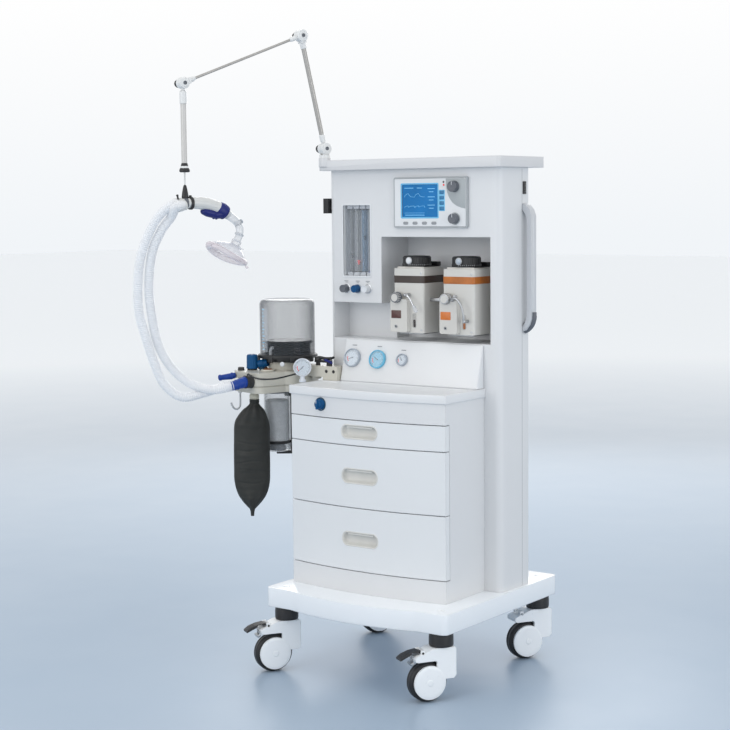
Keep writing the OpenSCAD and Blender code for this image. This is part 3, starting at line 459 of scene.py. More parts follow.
def spline(controls, step):
    """Smooth path through the controls, resampled to equal steps."""
    controls = [Vector(point) for point in controls]
    last = len(controls) - 1
    fine = []
    for i in range(last):
        a, b, c, d = [controls[min(max(i + j, 0), last)] for j in (-1, 0, 1, 2)]
        for k in range(24):
            t = k / 24
            fine.append(0.5 * (2 * b + (c - a) * t + (2 * a - 5 * b + 4 * c - d) * t * t
                               + (3 * b - a - 3 * c + d) * t ** 3))
    fine.append(controls[-1])
    total = sum((after - point).length for point, after in zip(fine, fine[1:]))
    count = max(2, round(total / step))
    step = total / count
    path = [fine[0]]
    wanted, run = step, 0.0
    for point, after in zip(fine, fine[1:]):
        length = (after - point).length
        while length > 0 and run + length >= wanted - 1e-9 and len(path) < count:
            path.append(point.lerp(after, (wanted - run) / length))
            wanted += step
        run += length
    path.append(fine[-1])
    return path


def tangents(path):
    last = len(path) - 1
    return [(path[min(i + 1, last)] - path[max(i - 1, 0)]).normalized()
            for i in range(last + 1)]


def path_frames(path):
    """Two directions across the path at each of its points, carried along without twist."""
    along = tangents(path)
    across = Vector((0.3, -0.8, 0.52)).normalized().cross(along[0]).normalized()
    frames = []
    for tangent in along:
        across = (across - tangent * across.dot(tangent)).normalized()
        frames.append((across, tangent.cross(across)))
    return frames


def path_ring(mesh, centre, axes, radius, seg):
    ring = []
    for j in range(seg):
        around = 2 * math.pi * j / seg
        ring.append(mesh.verts.new(centre + axes[0] * (radius * math.cos(around))
                                   + axes[1] * (radius * math.sin(around))))
    return ring


def tube_mesh(path, radius, seg):
    """Sweeps a circle along path; radius is a number or a function of (index, run)."""
    mesh = bmesh.new()
    run = 0.0
    rings = []
    for i, axes in enumerate(path_frames(path)):
        if i:
            run += (path[i] - path[i - 1]).length
        size = radius(i, run) if callable(radius) else radius
        rings.append(path_ring(mesh, path[i], axes, size, seg))
    bridge(mesh, rings, caps=(0, -1))
    return mesh


def tube(name, controls, radius, finish, body="root", step=3.0, seg=14):
    return add_piece(name, tube_mesh(spline(controls, step), radius, seg), finish, None, body)


# --------------------------------------------------------------- CAD nodes
OWN_FINISH = {"base_plate": "base_gloss", "top_shelf": "shelf_paint"}
SOFT_EDGES = {"base_plate": 5.0, "top_shelf": 4.0, "work_surface": 4.0, "gauge_console": 3.0}
record_slot = {part["node"]: part["material_slot"] for part in frame["record"]["subparts"]}


def add_soft_edges(ob, width):
    """Real rounded edges, by modifiers only."""
    planar = ob.modifiers.new("planar", "DECIMATE")
    planar.decimate_type = "DISSOLVE"
    planar.angle_limit = math.radians(1.0)
    bevel = ob.modifiers.new("bevel", "BEVEL")
    bevel.width = width * MM
    bevel.segments = 3
    bevel.limit_method = "ANGLE"
    bevel.angle_limit = math.radians(40)
    bevel.use_clamp_overlap = True
    bevel.miter_outer = "MITER_ARC"


for node_name, ob in NODES.items():
    finish_mesh(ob, OWN_FINISH.get(node_name, record_slot[node_name]))
    if "custom_normal" in ob.data.attributes:
        ob.data.attributes.remove(ob.data.attributes["custom_normal"])
    weld = ob.modifiers.new("weld", "WELD")
    weld.merge_threshold = 2e-6
    if node_name in SOFT_EDGES:
        add_soft_edges(ob, SOFT_EDGES[node_name])
    split = ob.modifiers.new("edges", "EDGE_SPLIT")
    split.split_angle = math.radians(32)
    split.use_edge_sharp = False


def paint_faces(node_name, finish, test):
    """Gives a second finish to the faces whose centre passes test."""
    data = NODES[node_name].data
    data.materials.append(FINISH[finish])
    for face in data.polygons:
        if test(face.center / MM):
            face.material_index = len(data.materials) - 1


# metal strip of the column behind the vaporizers
paint_faces("column_shell", "satin_metal",
            lambda c: 949.5 < c.z < 990.5 and 102.5 < c.y < 126.5 and -61 < c.x < 229)

# ----------------------------------------------------------------- monitor
MONITOR_Y = -9.0
on_monitor = to_front(0, MONITOR_Y, 0)
# outline of the darker zone at the upper right corner, (x, z)
ZONE_OUTLINE = [(168.4, 1277.2), (171, 1274.6), (171, 1200.5), (156, 1203.5), (142, 1209),
                (131, 1217), (122.5, 1228), (117, 1240), (114, 1252), (112.6, 1266),
                (112, 1277.2)]
prism("monitor_zone", ZONE_OUTLINE, -0.45, 0.35, 0.2, "monitor_mid", on_monitor)
prism("key_strip", round_rect(90.8, 1194.6, 109.2, 1248.8, 2), -0.4, 0.5, 0.2, "key_strip",
      on_monitor)
for i in range(4):
    z = 1242.2 - 13.6 * i
    prism("side_key_%d" % i, round_rect(93.2, z - 4.6, 106.8, z + 4.6, 1.6), 0, 1.5, 0.5,
          "key_blue", on_monitor)
for i in range(4):
    x = -12 + 29.2 * i
    prism("soft_key_%d" % i, round_rect(x - 7.6, 1160.2, x + 7.6, 1167.8, 3.7), -0.2, 1.6, 0.6,
          "key_grey", on_monitor)
for name, x, z, finish in (("lamp_red", 105.6, 1261.0, "led_red"),
                           ("lamp_dark", 105.2, 1268.6, "led_dark")):
    lathe(name, [(2.6, -0.4), (2.6, 0.7, 0.6), (0, 1.4)], finish, to_front(x, MONITOR_Y, z),
          seg=20)
outer = round_rect(-27.6, 1175.8, 90.2, 1266.6, 4)
inner = round_rect(-24, 1179.4, 87, 1263.2, 1.2)
add_piece("display_bezel",
          loop_mesh([(outer, -0.3), (outer, 0.35), (inner, 0.35), (inner, -1.4)]),
          "key_strip", on_monitor)

# screen curves and fields
TRACE_Y = -7.15
FIELD_Y = -7.0
CURVE_START, CURVE_END, CURVE_STEPS = -17, 46, 90


def trace(name, points, radius=0.32):
    path = [Vector((x, TRACE_Y, z)) for x, z in points]
    add_piece(name, tube_mesh(path, radius, 6), "screen_trace")


def wave(base_z, height, shape):
    return [(CURVE_START + (CURVE_END - CURVE_START) * i / CURVE_STEPS,
             base_z + height * shape(i / CURVE_STEPS)) for i in range(CURVE_STEPS + 1)]


def breath(t):
    """Two breaths for t from 0 to 1: a rise, then a fall."""
    t = (t * 2.0) % 1.0
    return (1 - math.exp(-t * 9)) if t < 0.4 else math.exp(-(t - 0.4) * 9)


trace("trace_pressure", wave(1231, 9, breath))
trace("trace_flow",
      wave(1206, 5, lambda t: (breath(t) - 0.5) * (1 if (t * 2) % 1 < 0.4 else -0.8)))
trace("trace_base", [(CURVE_START, 1190), (CURVE_END, 1190)], 0.3)
# x, z, half width
FIELDS = ((66, 1252, 11), (66, 1244, 7), (66, 1231, 11), (66, 1223, 7), (66, 1210, 11),
          (66, 1202, 7), (-3, 1254, 14), (30, 1254, 8), (15, 1184.5, 30))
boxes("screen_fields", [((x, FIELD_Y, z), (half, 0.3, 0.55)) for x, z, half in FIELDS],
      "screen_trace")


def knob(name, node_name, place, radius, height, ribs, finish, skirt=0.0, base=0.0,
         pointer=True, depth=0.7):
    """Ribbed knob on local +Z with a skirt, a dished top and a pointer line."""
    top = base + height
    profile = [(0, base), (radius + skirt, base), (radius + skirt, base + height * 0.16, 0.8),
               (radius, base + height * 0.26, 0.8), (radius * 0.97, top, 1.6),
               (radius * 0.80, top, 0.8), (radius * 0.72, top - 0.9, 0.8), (0, top - 1.1)]
    ribbing = (ribs, depth, base + height * 0.27, top - 1.2)
    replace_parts(lathe(name, profile, finish, place, node_name, ribs=ribbing), node_name)
    if pointer:
        box(name + "_mark", (-0.7, 0.7), (radius * 0.25, radius * 0.92), (top - 0.9, top + 0.35),
            0.25, "monitor_white", place, node_name, seg=2)


# name, node, x, z, radius, ribs, skirt, radius of the ring round it
MONITOR_KNOBS = (("menu_knob", "monitor_knob_upper", 138.5, 1256.8, 14.0, 22, 0.5, 17.2),
                 ("volume_knob", "monitor_knob_lower", 139.3, 1175.2, 12.9, 20, 0.4, 15.8))
for name, node_name, x, z, radius, ribs, skirt, _ in MONITOR_KNOBS:
    knob(name, node_name, to_front(x, MONITOR_Y - 0.2, z), radius, 14.5, ribs, "knob_grey",
         skirt, base=0.4)
for name, _, x, z, _, _, _, ring in MONITOR_KNOBS:
    lathe(name + "_ring", [(ring - 2, -0.3), (ring, -0.3), (ring, 0.5, 0.3), (ring - 1.2, 0.7),
                           (ring - 2, 0.7)], "monitor_mid", to_front(x, MONITOR_Y, z))

# ------------------------------------------------------------- flow meters
WHEEL_Z = 990
# gas, x, finish, ribs, rib depth, finish of the seat
for gas, x, finish, ribs, depth, seat in (
        ("air", -212.5, "knob_grey", 14, 0.9, "bright_metal"),
        ("oxygen", -175, "teal_plastic", 8, 1.4, "ring_grey"),
        ("nitrous", -142, "knob_white", 14, 0.9, "bright_metal")):
    knob("flow_wheel_" + gas, "flow_knob_" + gas, to_front(x, -1.0, WHEEL_Z), 10.2, 18.5, ribs,
         finish, pointer=False, depth=depth)
    lathe("flow_seat_" + gas, [(12.8, -0.2), (12.8, 1.0, 0.5), (11.0, 1.6), (10.8, 1.6),
                               (10.8, -0.2)], seat, to_front(x, -0.2, WHEEL_Z))
    boxes("flow_legend_" + gas, [((x, -0.3, 1010), (6.5, 0.25, 0.9)),
                                 ((x, -0.3, 1006.6), (3.5, 0.25, 0.6))], "key_grey")
outer, inner = round_rect(-225, 1020, -129, 1215, 4), round_rect(-221, 1024, -133, 1211, 2)
mesh = loop_mesh([(outer, -0.3), (outer, 1.2), (inner, 1.2), (inner, -2.0)])
bmesh.ops.recalc_face_normals(mesh, faces=mesh.faces)
rounded(mesh, 0.4, 2)
add_piece("flow_frame", mesh, "monitor_white", turn("X", 90))

TUBE_X, TUBE_PITCH, TUBE_Y = -208.5, 21, 23
# finish of the lower cap, height of the float, finish of the float, finish of the scale
FLOW_TUBES = (("knob_grey", 1070, "led_dark", "monitor_white"),
              ("led_dark", 1052, "led_red", "monitor_white"),
              ("knob_grey", 1118, "band_brown", "monitor_white"),
              ("blue_cone", 1088, "blue_cone", "key_strip"))
for i, (cap, float_z, float_finish, scale) in enumerate(FLOW_TUBES):
    x = TUBE_X + TUBE_PITCH * i
    for k, (z, finish) in enumerate(((1024.5, cap), (1198.5, "knob_grey"))):
        lathe("tube_cap_%d_%d" % (i, k), [(0, 0), (9.2, 0, 0.8), (9.2, 9.5, 0.8),
                                          (8.4, 10.6, 0.6), (0, 10.6)],
              finish, move(x, TUBE_Y, z), ribs=(14, 0.5, 1.2, 8.6))
    # float with its conical lower end
    lathe("flow_float_%d" % i, [(0, 0), (1.6, 1.5), (3.2, 9, 0.5), (3.9, 10.0, 0.3),
                                (3.9, 12.5, 0.3), (0, 13)],
          float_finish, move(x, TUBE_Y, float_z), seg=24)
    box("scale_strip_%d" % i, (x + 7.6, x + 12.6), (31.5, 33.6), (1040, 1196), 0.4, scale,
        seg=1)
    boxes("scale_marks_%d" % i,
          [((x + (9.2 if k % 5 else 10.0), 31.3, 1046 + 144 * k / 30),
            (1.5 if k % 5 else 2.6, 0.2, 0.55)) for k in range(31)], "ink")
paint_faces("flow_tubes", "tube_blue", lambda c: abs(c.x - (TUBE_X + 2 * TUBE_PITCH)) < 9)
box("flow_window", (-220.6, -133.4), (8.2, 10.0), (1024.4, 1210.6), 0.4, "lens", seg=1)


# ------------------------------------------------------------------ gauges
def gauge(name, place, radius, ring, face, needle):
    """Round gauge looking along local +Z, its back on z = 0. Returns its case."""
    case = lathe(name + "_case", [(0, 0), (radius, 0), (radius, 5.5, 0.8),
                                  (radius - 0.4, 8.2, 1.2), (radius - 2.2, 8.8, 1.0),
                                  (radius - 3.2, 7.6, 0.4), (radius - 3.2, 4.4), (0, 4.4)],
                 ring, place, seg=72)
    lathe(name + "_face", [(0, 4.5), (radius - 3.5, 4.5), (radius - 3.5, 5.0),
                           (radius * 0.55, 5.05), (0, 5.05)], face, place, seg=64)
    marks = []
    for k in range(31):
        angle = math.radians(225 - 270 * k / 30)
        length = radius * (0.09 if k % 5 else 0.16)
        reach = radius * 0.80 - length / 2
        marks.append(((reach * math.cos(angle), reach * math.sin(angle), 5.12),
                      (length / 2, 0.22 if k % 5 else 0.36, 0.12),
                      Matrix.Rotation(angle, 3, "Z")))
    boxes(name + "_marks", marks, "ink", place)
    # red arc along the start of the scale
    mesh = bmesh.new()
    sections = []
    for k in range(27):
        angle = math.radians(225 - 60 * k / 26)
        sections.append([mesh.verts.new((reach * math.cos(angle), reach * math.sin(angle), z))
                         for reach, z in ((radius * 0.52, 5.06), (radius * 0.60, 5.06),
                                          (radius * 0.60, 5.18), (radius * 0.52, 5.18))])
    bridge(mesh, sections, caps=(0, -1))
    add_piece(name + "_arc", mesh, "led_red", place)
    pointer = [(-radius * 0.18, -0.9), (-radius * 0.18, 0.9), (radius * 0.62, 0.25),
               (radius * 0.62, -0.25)]
    prism(name + "_pointer", pointer, 5.6, 6.1, 0, "ink", place @ turn("Z", needle))
    lathe(name + "_hub", [(0, 5.2), (1.9, 5.2), (1.9, 6.8, 0.5), (0, 7.0)], "ring_grey", place,
          seg=20)
    lathe(name + "_lens", [(0, 7.6), (radius - 3.25, 7.1), (radius - 3.25, 7.5), (0, 8.1)],
          "lens", place)
    return case


# the console's face leans back by CONSOLE_RUN over CONSOLE_RISE
CONSOLE_RUN, CONSOLE_RISE = 29, 107
CONSOLE_Y, CONSOLE_Z = -34, 747
lean = math.degrees(math.atan(CONSOLE_RUN / CONSOLE_RISE))
# name, x, z, radius, ring, face, angle of the needle
CONSOLE_GAUGES = (("gauge_left", -180, 805.5, 25, "ring_grey", "dial_face", 200),
                  ("gauge_middle", -98, 805, 25, "ring_blue", "dial_face_blue", 150),
                  ("gauge_right", -20, 807, 16.5, "ring_grey", "dial_face", 120))
cases = []
for name, x, z, radius, ring, face, needle in CONSOLE_GAUGES:
    y = CONSOLE_Y + (z - CONSOLE_Z) * CONSOLE_RUN / CONSOLE_RISE
    place = move(x, y, z) @ turn("X", 90 - lean) @ move(z=0.2)
    cases.append(gauge(name, place, radius, ring, face, needle))
    above = radius + 9
    boxes(name + "_legend", [((x, y + above * CONSOLE_RUN / CONSOLE_RISE - 0.5, z + above),
                              (7, 0.6, 0.9))], "key_grey")
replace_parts(cases[0], "gauges")

# -------------------------------------------------------------- vaporizers
VAPOR_WIDTH = 95
VAPOR_FRONT, VAPOR_REAR = -20, 80
BLOCK_FRONT = -34  # front of the filler block
DIAL_Y, DIAL_Z = 20, 1052


def vaporizer(side, x0, band, label, cap, button):
    """Fittings of the vaporizer whose left face is at x0."""
    left = side == "left"
    inner = round_rect(x0 - 0.1, VAPOR_FRONT - 0.1, x0 + VAPOR_WIDTH + 0.1, VAPOR_REAR + 0.1,
                       7.1)
    outer = round_rect(x0 - 0.8, VAPOR_FRONT - 0.8, x0 + VAPOR_WIDTH + 0.8, VAPOR_REAR + 0.8,
                       7.6)
    add_piece("vapor_band_" + side,
              loop_mesh([(inner, 1009.4), (outer, 1010.2), (outer, 1027.2), (inner, 1028.0)]),
              band)
    prism("vapor_plate_" + side, round_rect(x0 + 2.5, 918, x0 + 33, 938.5, 1.5), -0.3, 0.8, 0.3,
          label, to_front(0, BLOCK_FRONT, 0))
    lathe("filler_cap_" + side, [(13.2, 0), (14.6, 0), (14.6, 3.5, 0.8), (13.8, 5.0, 0.6),
                                 (13.6, 16.2, 1.6), (10.5, 17.2, 1.2), (9.5, 16.0, 0.6),
                                 (0, 15.8)],
          cap, to_front(x0 + 20, -29.5, 972), ribs=(16, 1.1, 5.2, 15.6))
    lathe("bleed_knob_" + side, [(0, 0), (5, 0), (5, 3, 0.6), (3.6, 5), (3.6, 9, 1.0), (0, 9.6)],
          "satin_metal", to_front(x0 + 39, VAPOR_FRONT, 978), seg=24)
    port = to_front(x0 + 17, BLOCK_FRONT + 0.1, 897)
    lathe("filling_port_" + side, [(4.2, 0), (4.6, 0), (4.6, 1.4, 0.5), (3.0, 1.8, 0.4),
                                   (2.4, 0.6), (0, 0.4)], "satin_metal", port, seg=28)
    lathe("filling_port_plug_" + side, [(0, 0.3), (2.3, 0.3), (2.3, 0.9, 0.3), (0, 1.0)], "ink",
          port, seg=20)
    on_front = to_front(0, VAPOR_FRONT, 0)
    prism("sight_glass_" + side, round_rect(x0 + 60, 893, x0 + 71, 931, 5), -0.4, 1.0, 0.5,
          "clear_dome", on_front)
    prism("sight_liquid_" + side, round_rect(x0 + 62, 895, x0 + 69, 915, 3.2), -0.2, 0.5, 0.2,
          band, on_front)
    # step behind the dial and the deck under it
    box("vapor_step_" + side, (x0 + 8, x0 + 87), (60, 75), (1051.3, 1063), 2.0, "black_plastic")
    box("vapor_deck_" + side, (x0 + 10, x0 + 90), (-9, 64), (1050.4, 1051.95), 0.6,
        "black_plastic")
    for k, (x, z) in enumerate(((8, 888), (87, 888), (87, 1035))):
        lathe("vapor_screw_%s_%d" % (side, k), [(0, 0), (3, 0), (3, 0.8, 0.5), (0, 1.3)],
              "screw_steel", to_front(x0 + x, VAPOR_FRONT, z), seg=20)
    box("vapor_foot_" + side, (x0 + 10, x0 + 85), (-8, 70), (876.2, 880.2), 1.2, "satin_metal")

    dial = "dial_" + side
    dial_x = x0 + VAPOR_WIDTH / 2
    place = move(dial_x, DIAL_Y, DIAL_Z)
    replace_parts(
        lathe("concentration_dial_" + side,
              [(0, 0), (36.5, 0), (38, 1.6, 0.8), (38, 7.0, 0.6), (37.0, 8.0, 0.4),
               (37.0, 23.0, 1.8), (34.2, 26.6, 2.2), (27, 27, 1.0), (25.5, 25.8, 0.8),
               (0, 25.4)], "dial_black", place, dial, ribs=(30, 1.1, 8.1, 22.9)), dial)
    marks = []
    for k in range(33):
        angle = math.radians(-90 + 8 * k)
        marks.append(((37.95 * math.cos(angle), 37.95 * math.sin(angle), 4.3),
                      (0.22, 0.30, 1.2 if k % 4 else 2.0), Matrix.Rotation(angle, 3, "Z")))
    boxes("dial_scale_" + side, marks, "monitor_white", place, dial)
    button_place = to_front(dial_x, DIAL_Y - 34.8, DIAL_Z + 15.0)
    lathe("dial_button_" + side, [(0, 0), (7.6, 0), (7.6, 4.6, 0.8), (6.4, 6.6, 1.2), (0, 7.0)],
          button, button_place, dial, seg=32)
    lathe("dial_button_ring_" + side, [(7.7, 2.0), (9.6, 2.0), (9.6, 3.6, 0.5), (8.8, 4.2, 0.4),
                                       (7.7, 4.2)], "satin_metal", button_place, dial, seg=32)


vaporizer("left", -45, "band_brown", "label_brown", "knob_grey",
          "monitor_white")
vaporizer("right", 108, "band_orange", "label_orange", "satin_metal", "ring_grey")

# bright lever on the left one, curved tube handle on the right one
tube("filler_lever", [(5, -36, 979), (12, -38, 976), (20, -39, 968), (28, -40, 957),
                      (34, -41, 948)],
     lambda i, run: 3.2 if run < 8 else 2.4, "bright_metal", step=1.5)
lathe("filler_lever_grip", [(0, 0), (3.6, 0), (4.6, 4, 1.5), (5.2, 16, 2.0), (3.2, 20, 1.6),
                            (0, 21)],
      "elbow_clear", align((31, -40.6, 952.5), (6, -1, -9)), seg=24)
lathe("filler_lever_hub", [(0, -16), (4.6, -16), (4.6, 0, 0.8), (3, 2), (0, 2.2)],
      "satin_metal", to_front(5, -34, 979), seg=24)
tube("filler_handle", [(148, -40, 970), (155, -42, 974.5), (165, -42.5, 972), (175, -42, 961),
                       (181, -41, 946), (183.5, -40, 930), (183, -38, 916)],
     3.0, "satin_metal", step=1.5)
for k, (x, z) in enumerate(((148, 970), (183, 916))):
    lathe("filler_handle_end_%d" % k, [(0, 0), (4.6, 0), (4.6, 18, 0.8), (3, 20.5), (0, 20.5)],
          "satin_metal", to_front(x, VAPOR_FRONT, z), seg=24)
box("interlock_body", (98.5, 107.9), (-6, 26), (948, 986), 2.0, "black_plastic")
box("interlock_lever", (95.5, 99.2), (-12, 4), (958, 972), 1.2, "black_gloss")
box("interlock_stay", (50.2, 98.6), (8, 14), (962, 970), 0.8, "satin_metal")

# ------------------------------------------ drawer pulls and system switch
UNIT_LEFT, UNIT_RIGHT, UNIT_FRONT, BOW = -264.0, 219.0, -180.0, 26.0
UNIT_X, UNIT_HALF = (UNIT_LEFT + UNIT_RIGHT) / 2, (UNIT_RIGHT - UNIT_LEFT) / 2
BOW_RADIUS = (UNIT_HALF ** 2 + BOW ** 2) / (2 * BOW)
# growth of the outline and depth behind the front, from the lip to the bottom of the recess
PULL_LEVELS = ((2.6, 0.4), (2.6, -0.5), (1.8, -1.1), (0.2, -1.1), (-0.8, -0.3), (-1.6, 3.0),
               (-2.6, 9.0), (-4.5, 13.2), (-8.0, 15.4), (-12.5, 16.2))


def front_y(x):
    """Y of the bowed drawer front at x."""
    return UNIT_FRONT - BOW + BOW_RADIUS - math.sqrt(BOW_RADIUS ** 2 - (x - UNIT_X) ** 2)


def drawer_pull(drawer, z, height):
    half = height / 2
    mesh = bmesh.new()
    rings = []
    for grow, depth in PULL_LEVELS:
        radius = min(max(half - 2 + grow, 3), half + grow - 0.05)
        outline = round_rect(-81 - grow, z - half - grow, 28 + grow, z + half + grow, radius, 10)
        # the lip follows the bow, the bottom of the recess is flat
        rings.append([mesh.verts.new((px, depth + front_y(px if depth < 6 else UNIT_X), pz))
                      for px, pz in outline])
    bridge(mesh, rings, caps=(-1,))
    # one darker beige for lip and scoop: partly its own tone, partly painted shade
    add_piece("pull_" + drawer, mesh, "recess_beige", None, "drawer_" + drawer, angle=60)
    # finger grip along the top
    tube("pull_grip_" + drawer, [(-66, front_y(-66) + 4.5, z + half - 4.4),
                                 (-26, front_y(-26) + 4.0, z + half - 4.0),
                                 (13, front_y(13) + 4.5, z + half - 4.4)],
         2.6, "recess_beige", "drawer_" + drawer, step=4, seg=12)


drawer_pull("top", 637.5, 33.0)
drawer_pull("middle", 524.0, 36.0)
drawer_pull("bottom", 361.0, 34.0)

on_switch = to_front(-152, -200.6, 702)
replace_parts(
    lathe("switch_skirt", [(0, 0), (14.2, 0), (14.2, 1.4, 0.6), (13.2, 3.2, 1.2),
                           (11.6, 4.4, 0.6), (11.2, 11.5, 1.8), (9.4, 13.6, 1.6), (0, 14.4)],
          "teal_plastic", on_switch, "system_switch", ribs=(12, 0.35, 4.8, 11)),
    "system_switch")
mesh = bmesh.new()
bmesh.ops.create_cube(mesh, size=1)
for vert in mesh.verts:
    width = 7.0 if vert.co.z < 0 else 5.0
    vert.co = Vector((vert.co.x * width, vert.co.y * 25, 15.6 + vert.co.z * 7.0))
rounded(mesh, 1.6, 3)
add_piece("switch_bar", mesh, "teal_plastic", on_switch, "system_switch")
box("switch_mark", (-0.8, 0.8), (3.5, 11.5), (19.0, 19.35), 0.15, "monitor_white", on_switch,
    "system_switch", seg=1)
lathe("switch_plate", [(14.4, -1.6), (17.5, -1.6), (17.5, 1.0, 0.5), (16.4, 1.5, 0.4),
                       (14.8, 1.5), (14.8, -1.6)],
      "teal_dark", on_switch @ move(z=-0.8), seg=56)

# ---------------------------------------------------------------- absorber
# its own frame stands at ABSORBER_X, ABSORBER_Y and is turned about Z
ABSORBER_X, ABSORBER_Y, ABSORBER_TURN = -443, -155, -18
ABSORBER_COS = math.cos(math.radians(ABSORBER_TURN))
ABSORBER_SIN = math.sin(math.radians(ABSORBER_TURN))
ABSORBER_FRONT = Vector((-0.30902, -0.95106, 0))
DECK_Z = 766.0


def on_absorber(x, y, z=0.0):
    return Vector((ABSORBER_X + x * ABSORBER_COS - y * ABSORBER_SIN,
                   ABSORBER_Y + x * ABSORBER_SIN + y * ABSORBER_COS, z))


def absorber_place(x, y, z):
    return at(on_absorber(x, y, z)) @ turn("Z", ABSORBER_TURN)


# pressure relief knob with its spill port
relief = on_absorber(-40, 50, 770.2)
relief_place = at(relief) @ turn("Z", 36)
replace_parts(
    lathe("relief_knob", [(0, 0), (16.1, 0), (16.1, 3.4, 0.8), (15.5, 4.6, 0.6),
                          (15.3, 33.5, 2.0), (13.4, 37.8, 2.4), (10.0, 38.5, 1.2),
                          (9.0, 37.4, 0.6), (0, 37.1)],
          "teal_plastic", relief_place, "apl_knob", ribs=(18, 0.75, 5, 33)), "apl_knob")
box("relief_mark", (-0.8, 0.8), (-13.6, -3), (37.4, 38.7), 0.3, "monitor_white", relief_place,
    "apl_knob", seg=1)
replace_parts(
    lathe("relief_seat", [(0, -4.1), (13.6, -4.1), (13.6, -1.8, 0.6), (12.0, -0.1, 0.6),
                          (0, -0.1)], "black_plastic", relief_place), "deck_ports")
spill = relief + VIEW_RIGHT * 17.2 + UP * 11.0
lathe("spill_port", [(8.5, -0.6), (11.2, 0, 0.8), (11.2, 12, 1.0), (12.2, 13.2, 0.5),
                     (12.2, 16.2, 0.8), (11.0, 17.5, 0.6), (10.6, 26, 0.8), (9.3, 28, 0.6),
                     (8.6, 28, 0.3), (8.6, 2), (0, 2)],
      "teal_plastic", align(spill, VIEW_RIGHT * 0.95 + TO_VIEWER * 0.26 + UP * 0.17), seg=40)
lathe("spill_post", [(0, -15), (8, -15), (8, -4, 1.0), (6.5, 0), (0, 0)], "teal_dark",
      at(spill + VIEW_RIGHT * 9), seg=28)

# valves, oxygen cell and screws on the deck
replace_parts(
    lathe("valve_cap_front", [(0, 0), (17.6, 0), (17.6, 2.6, 0.8), (15.8, 3.8, 0.5),
                              (14.6, 3.4, 0.3), (13.2, 4.6, 1.2), (8, 6.2, 2), (0, 6.8)],
          "valve_amber", absorber_place(14, 66, DECK_Z + 0.1), seg=56), "valve_domes")
lathe("valve_rim_front", [(15.4, 3.5), (18.4, 0.2), (19.2, 0.2), (19.2, 2.6, 0.6),
                          (18.2, 4.2, 0.6), (15.4, 4.2)],
      "absorber_ivory", absorber_place(14, 66, DECK_Z), seg=56)
lathe("valve_cap_rear", [(0, 0), (13.8, 0), (13.8, 2.4, 0.8), (12, 3.4, 0.5), (10, 4.8, 1.2),
                         (0, 6.2)], "valve_amber", absorber_place(-52, 92, DECK_Z + 0.1))
lathe("oxygen_cell", [(0, 0), (9.6, 0), (9.6, 1.6, 0.4), (8.8, 2.4, 0.4), (8.6, 7.5, 1.0),
                      (6.5, 9.0, 0.8), (0, 9.3)],
      "caster_black", absorber_place(-50, 20, DECK_Z + 0.1), ribs=(16, 0.4, 2.6, 7))
for k, (x, y) in enumerate(((-58, 8), (56, 8), (54, 60), (-60, 62))):
    lathe("deck_screw_%d" % k, [(0, 0), (3.4, 0), (3.4, 1.0, 0.6), (2.0, 1.4, 0.3), (1.6, 0.9),
                                (0, 0.8)], "screw_steel", absorber_place(x, y, DECK_Z), seg=24)
# hose ports on the front
for name, x, z, radius, length in (("port_inspiratory", 32, 743, 18, 20),
                                   ("port_expiratory", -14, 736, 15, 12)):
    lathe(name, [(radius - 5, 0), (radius, 0), (radius, 3, 0.8), (radius - 1.2, 4.2, 0.5),
                 (radius - 1.2, length - 4, 0.5), (radius - 0.4, length - 3, 0.5),
                 (radius - 0.4, length, 1.0), (radius - 5, length, 0.6),
                 (radius - 5, length - 8), (0, length - 8)],
          "caster_black", align(on_absorber(x, -0.1, z), ABSORBER_FRONT),
          ribs=(24, 0.5, 4.4, length - 4.2))
lathe("bag_neck", [(0, -0.1), (13.6, -0.1), (13.6, -4, 0.8), (11.2, -5.2, 0.4),
                   (11.2, -9.4, 0.4), (13.2, -10.2, 0.6), (13.2, -20.5, 0.8), (11.0, -22, 0.6),
                   (11.0, -27), (0, -27)], "neck_beige", absorber_place(-12, 37, 711.0))
# from the port to the airway gauge
SAMPLING_PATH = [(36, -14, 762), (44, -16, 765), (56, -12, 759), (72, -4, 754), (84, 16, 752),
                 (100, 40, 754)]
tube("sampling_tube", [on_absorber(*point) for point in SAMPLING_PATH]
     + [(-322, -88, 761), (-312, -78, 766)], 2.3, "black_gloss", step=2, seg=10)
lathe("parked_plug", [(0, -3), (9.0, -3), (9.0, 2, 0.8), (10.2, 3, 0.5), (10.2, 7, 0.8),
                      (8.8, 8.5, 0.5), (7.2, 36, 1.0), (8.4, 37, 0.6), (8.2, 42, 1.0),
                      (5.5, 44, 0.8), (4.8, 42), (0, 40)],
      "blue_cone", align(on_absorber(-50, -3, 752),
                         ABSORBER_FRONT * 0.80 - VIEW_RIGHT * 0.55 - UP * 0.10), seg=40)

# airway gauge
AIRWAY_X, AIRWAY_Y = -304, -80
airway_place = move(AIRWAY_X, AIRWAY_Y, 779) @ turn("Z", VIEW_TURN) @ turn("X", 90)
case = gauge("airway_gauge", airway_place @ move(z=-6.8), 24.6, "gauge_white", "dial_face", 225)
lathe("airway_gauge_back", [(0, -16), (20, -16, 1), (24.0, -12.5, 3), (24.4, -6.9, 0.5),
                            (0, -6.9)], "gauge_white", airway_place, seg=64)
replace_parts(case, "airway_gauge")
lathe("airway_gauge_stem", [(0, 10), (5.2, 10), (5.2, 16, 0.8), (7.4, 17, 0.8), (7.4, 24, 0.8),
                            (5.2, 25, 0.6), (4.6, 36), (0, 36)],
      "satin_metal", airway_place @ move(y=-18.5) @ turn("X", 180), seg=28)
lathe("airway_gauge_collar", [(0, 0), (6.5, 0), (6.5, -8, 1.0), (9.5, -10, 0.8),
                              (9.5, -17, 1.2), (0, -18)],
      "gauge_white", move(AIRWAY_X, AIRWAY_Y, 756) @ turn("Z", VIEW_TURN) @ move(y=6), seg=32)

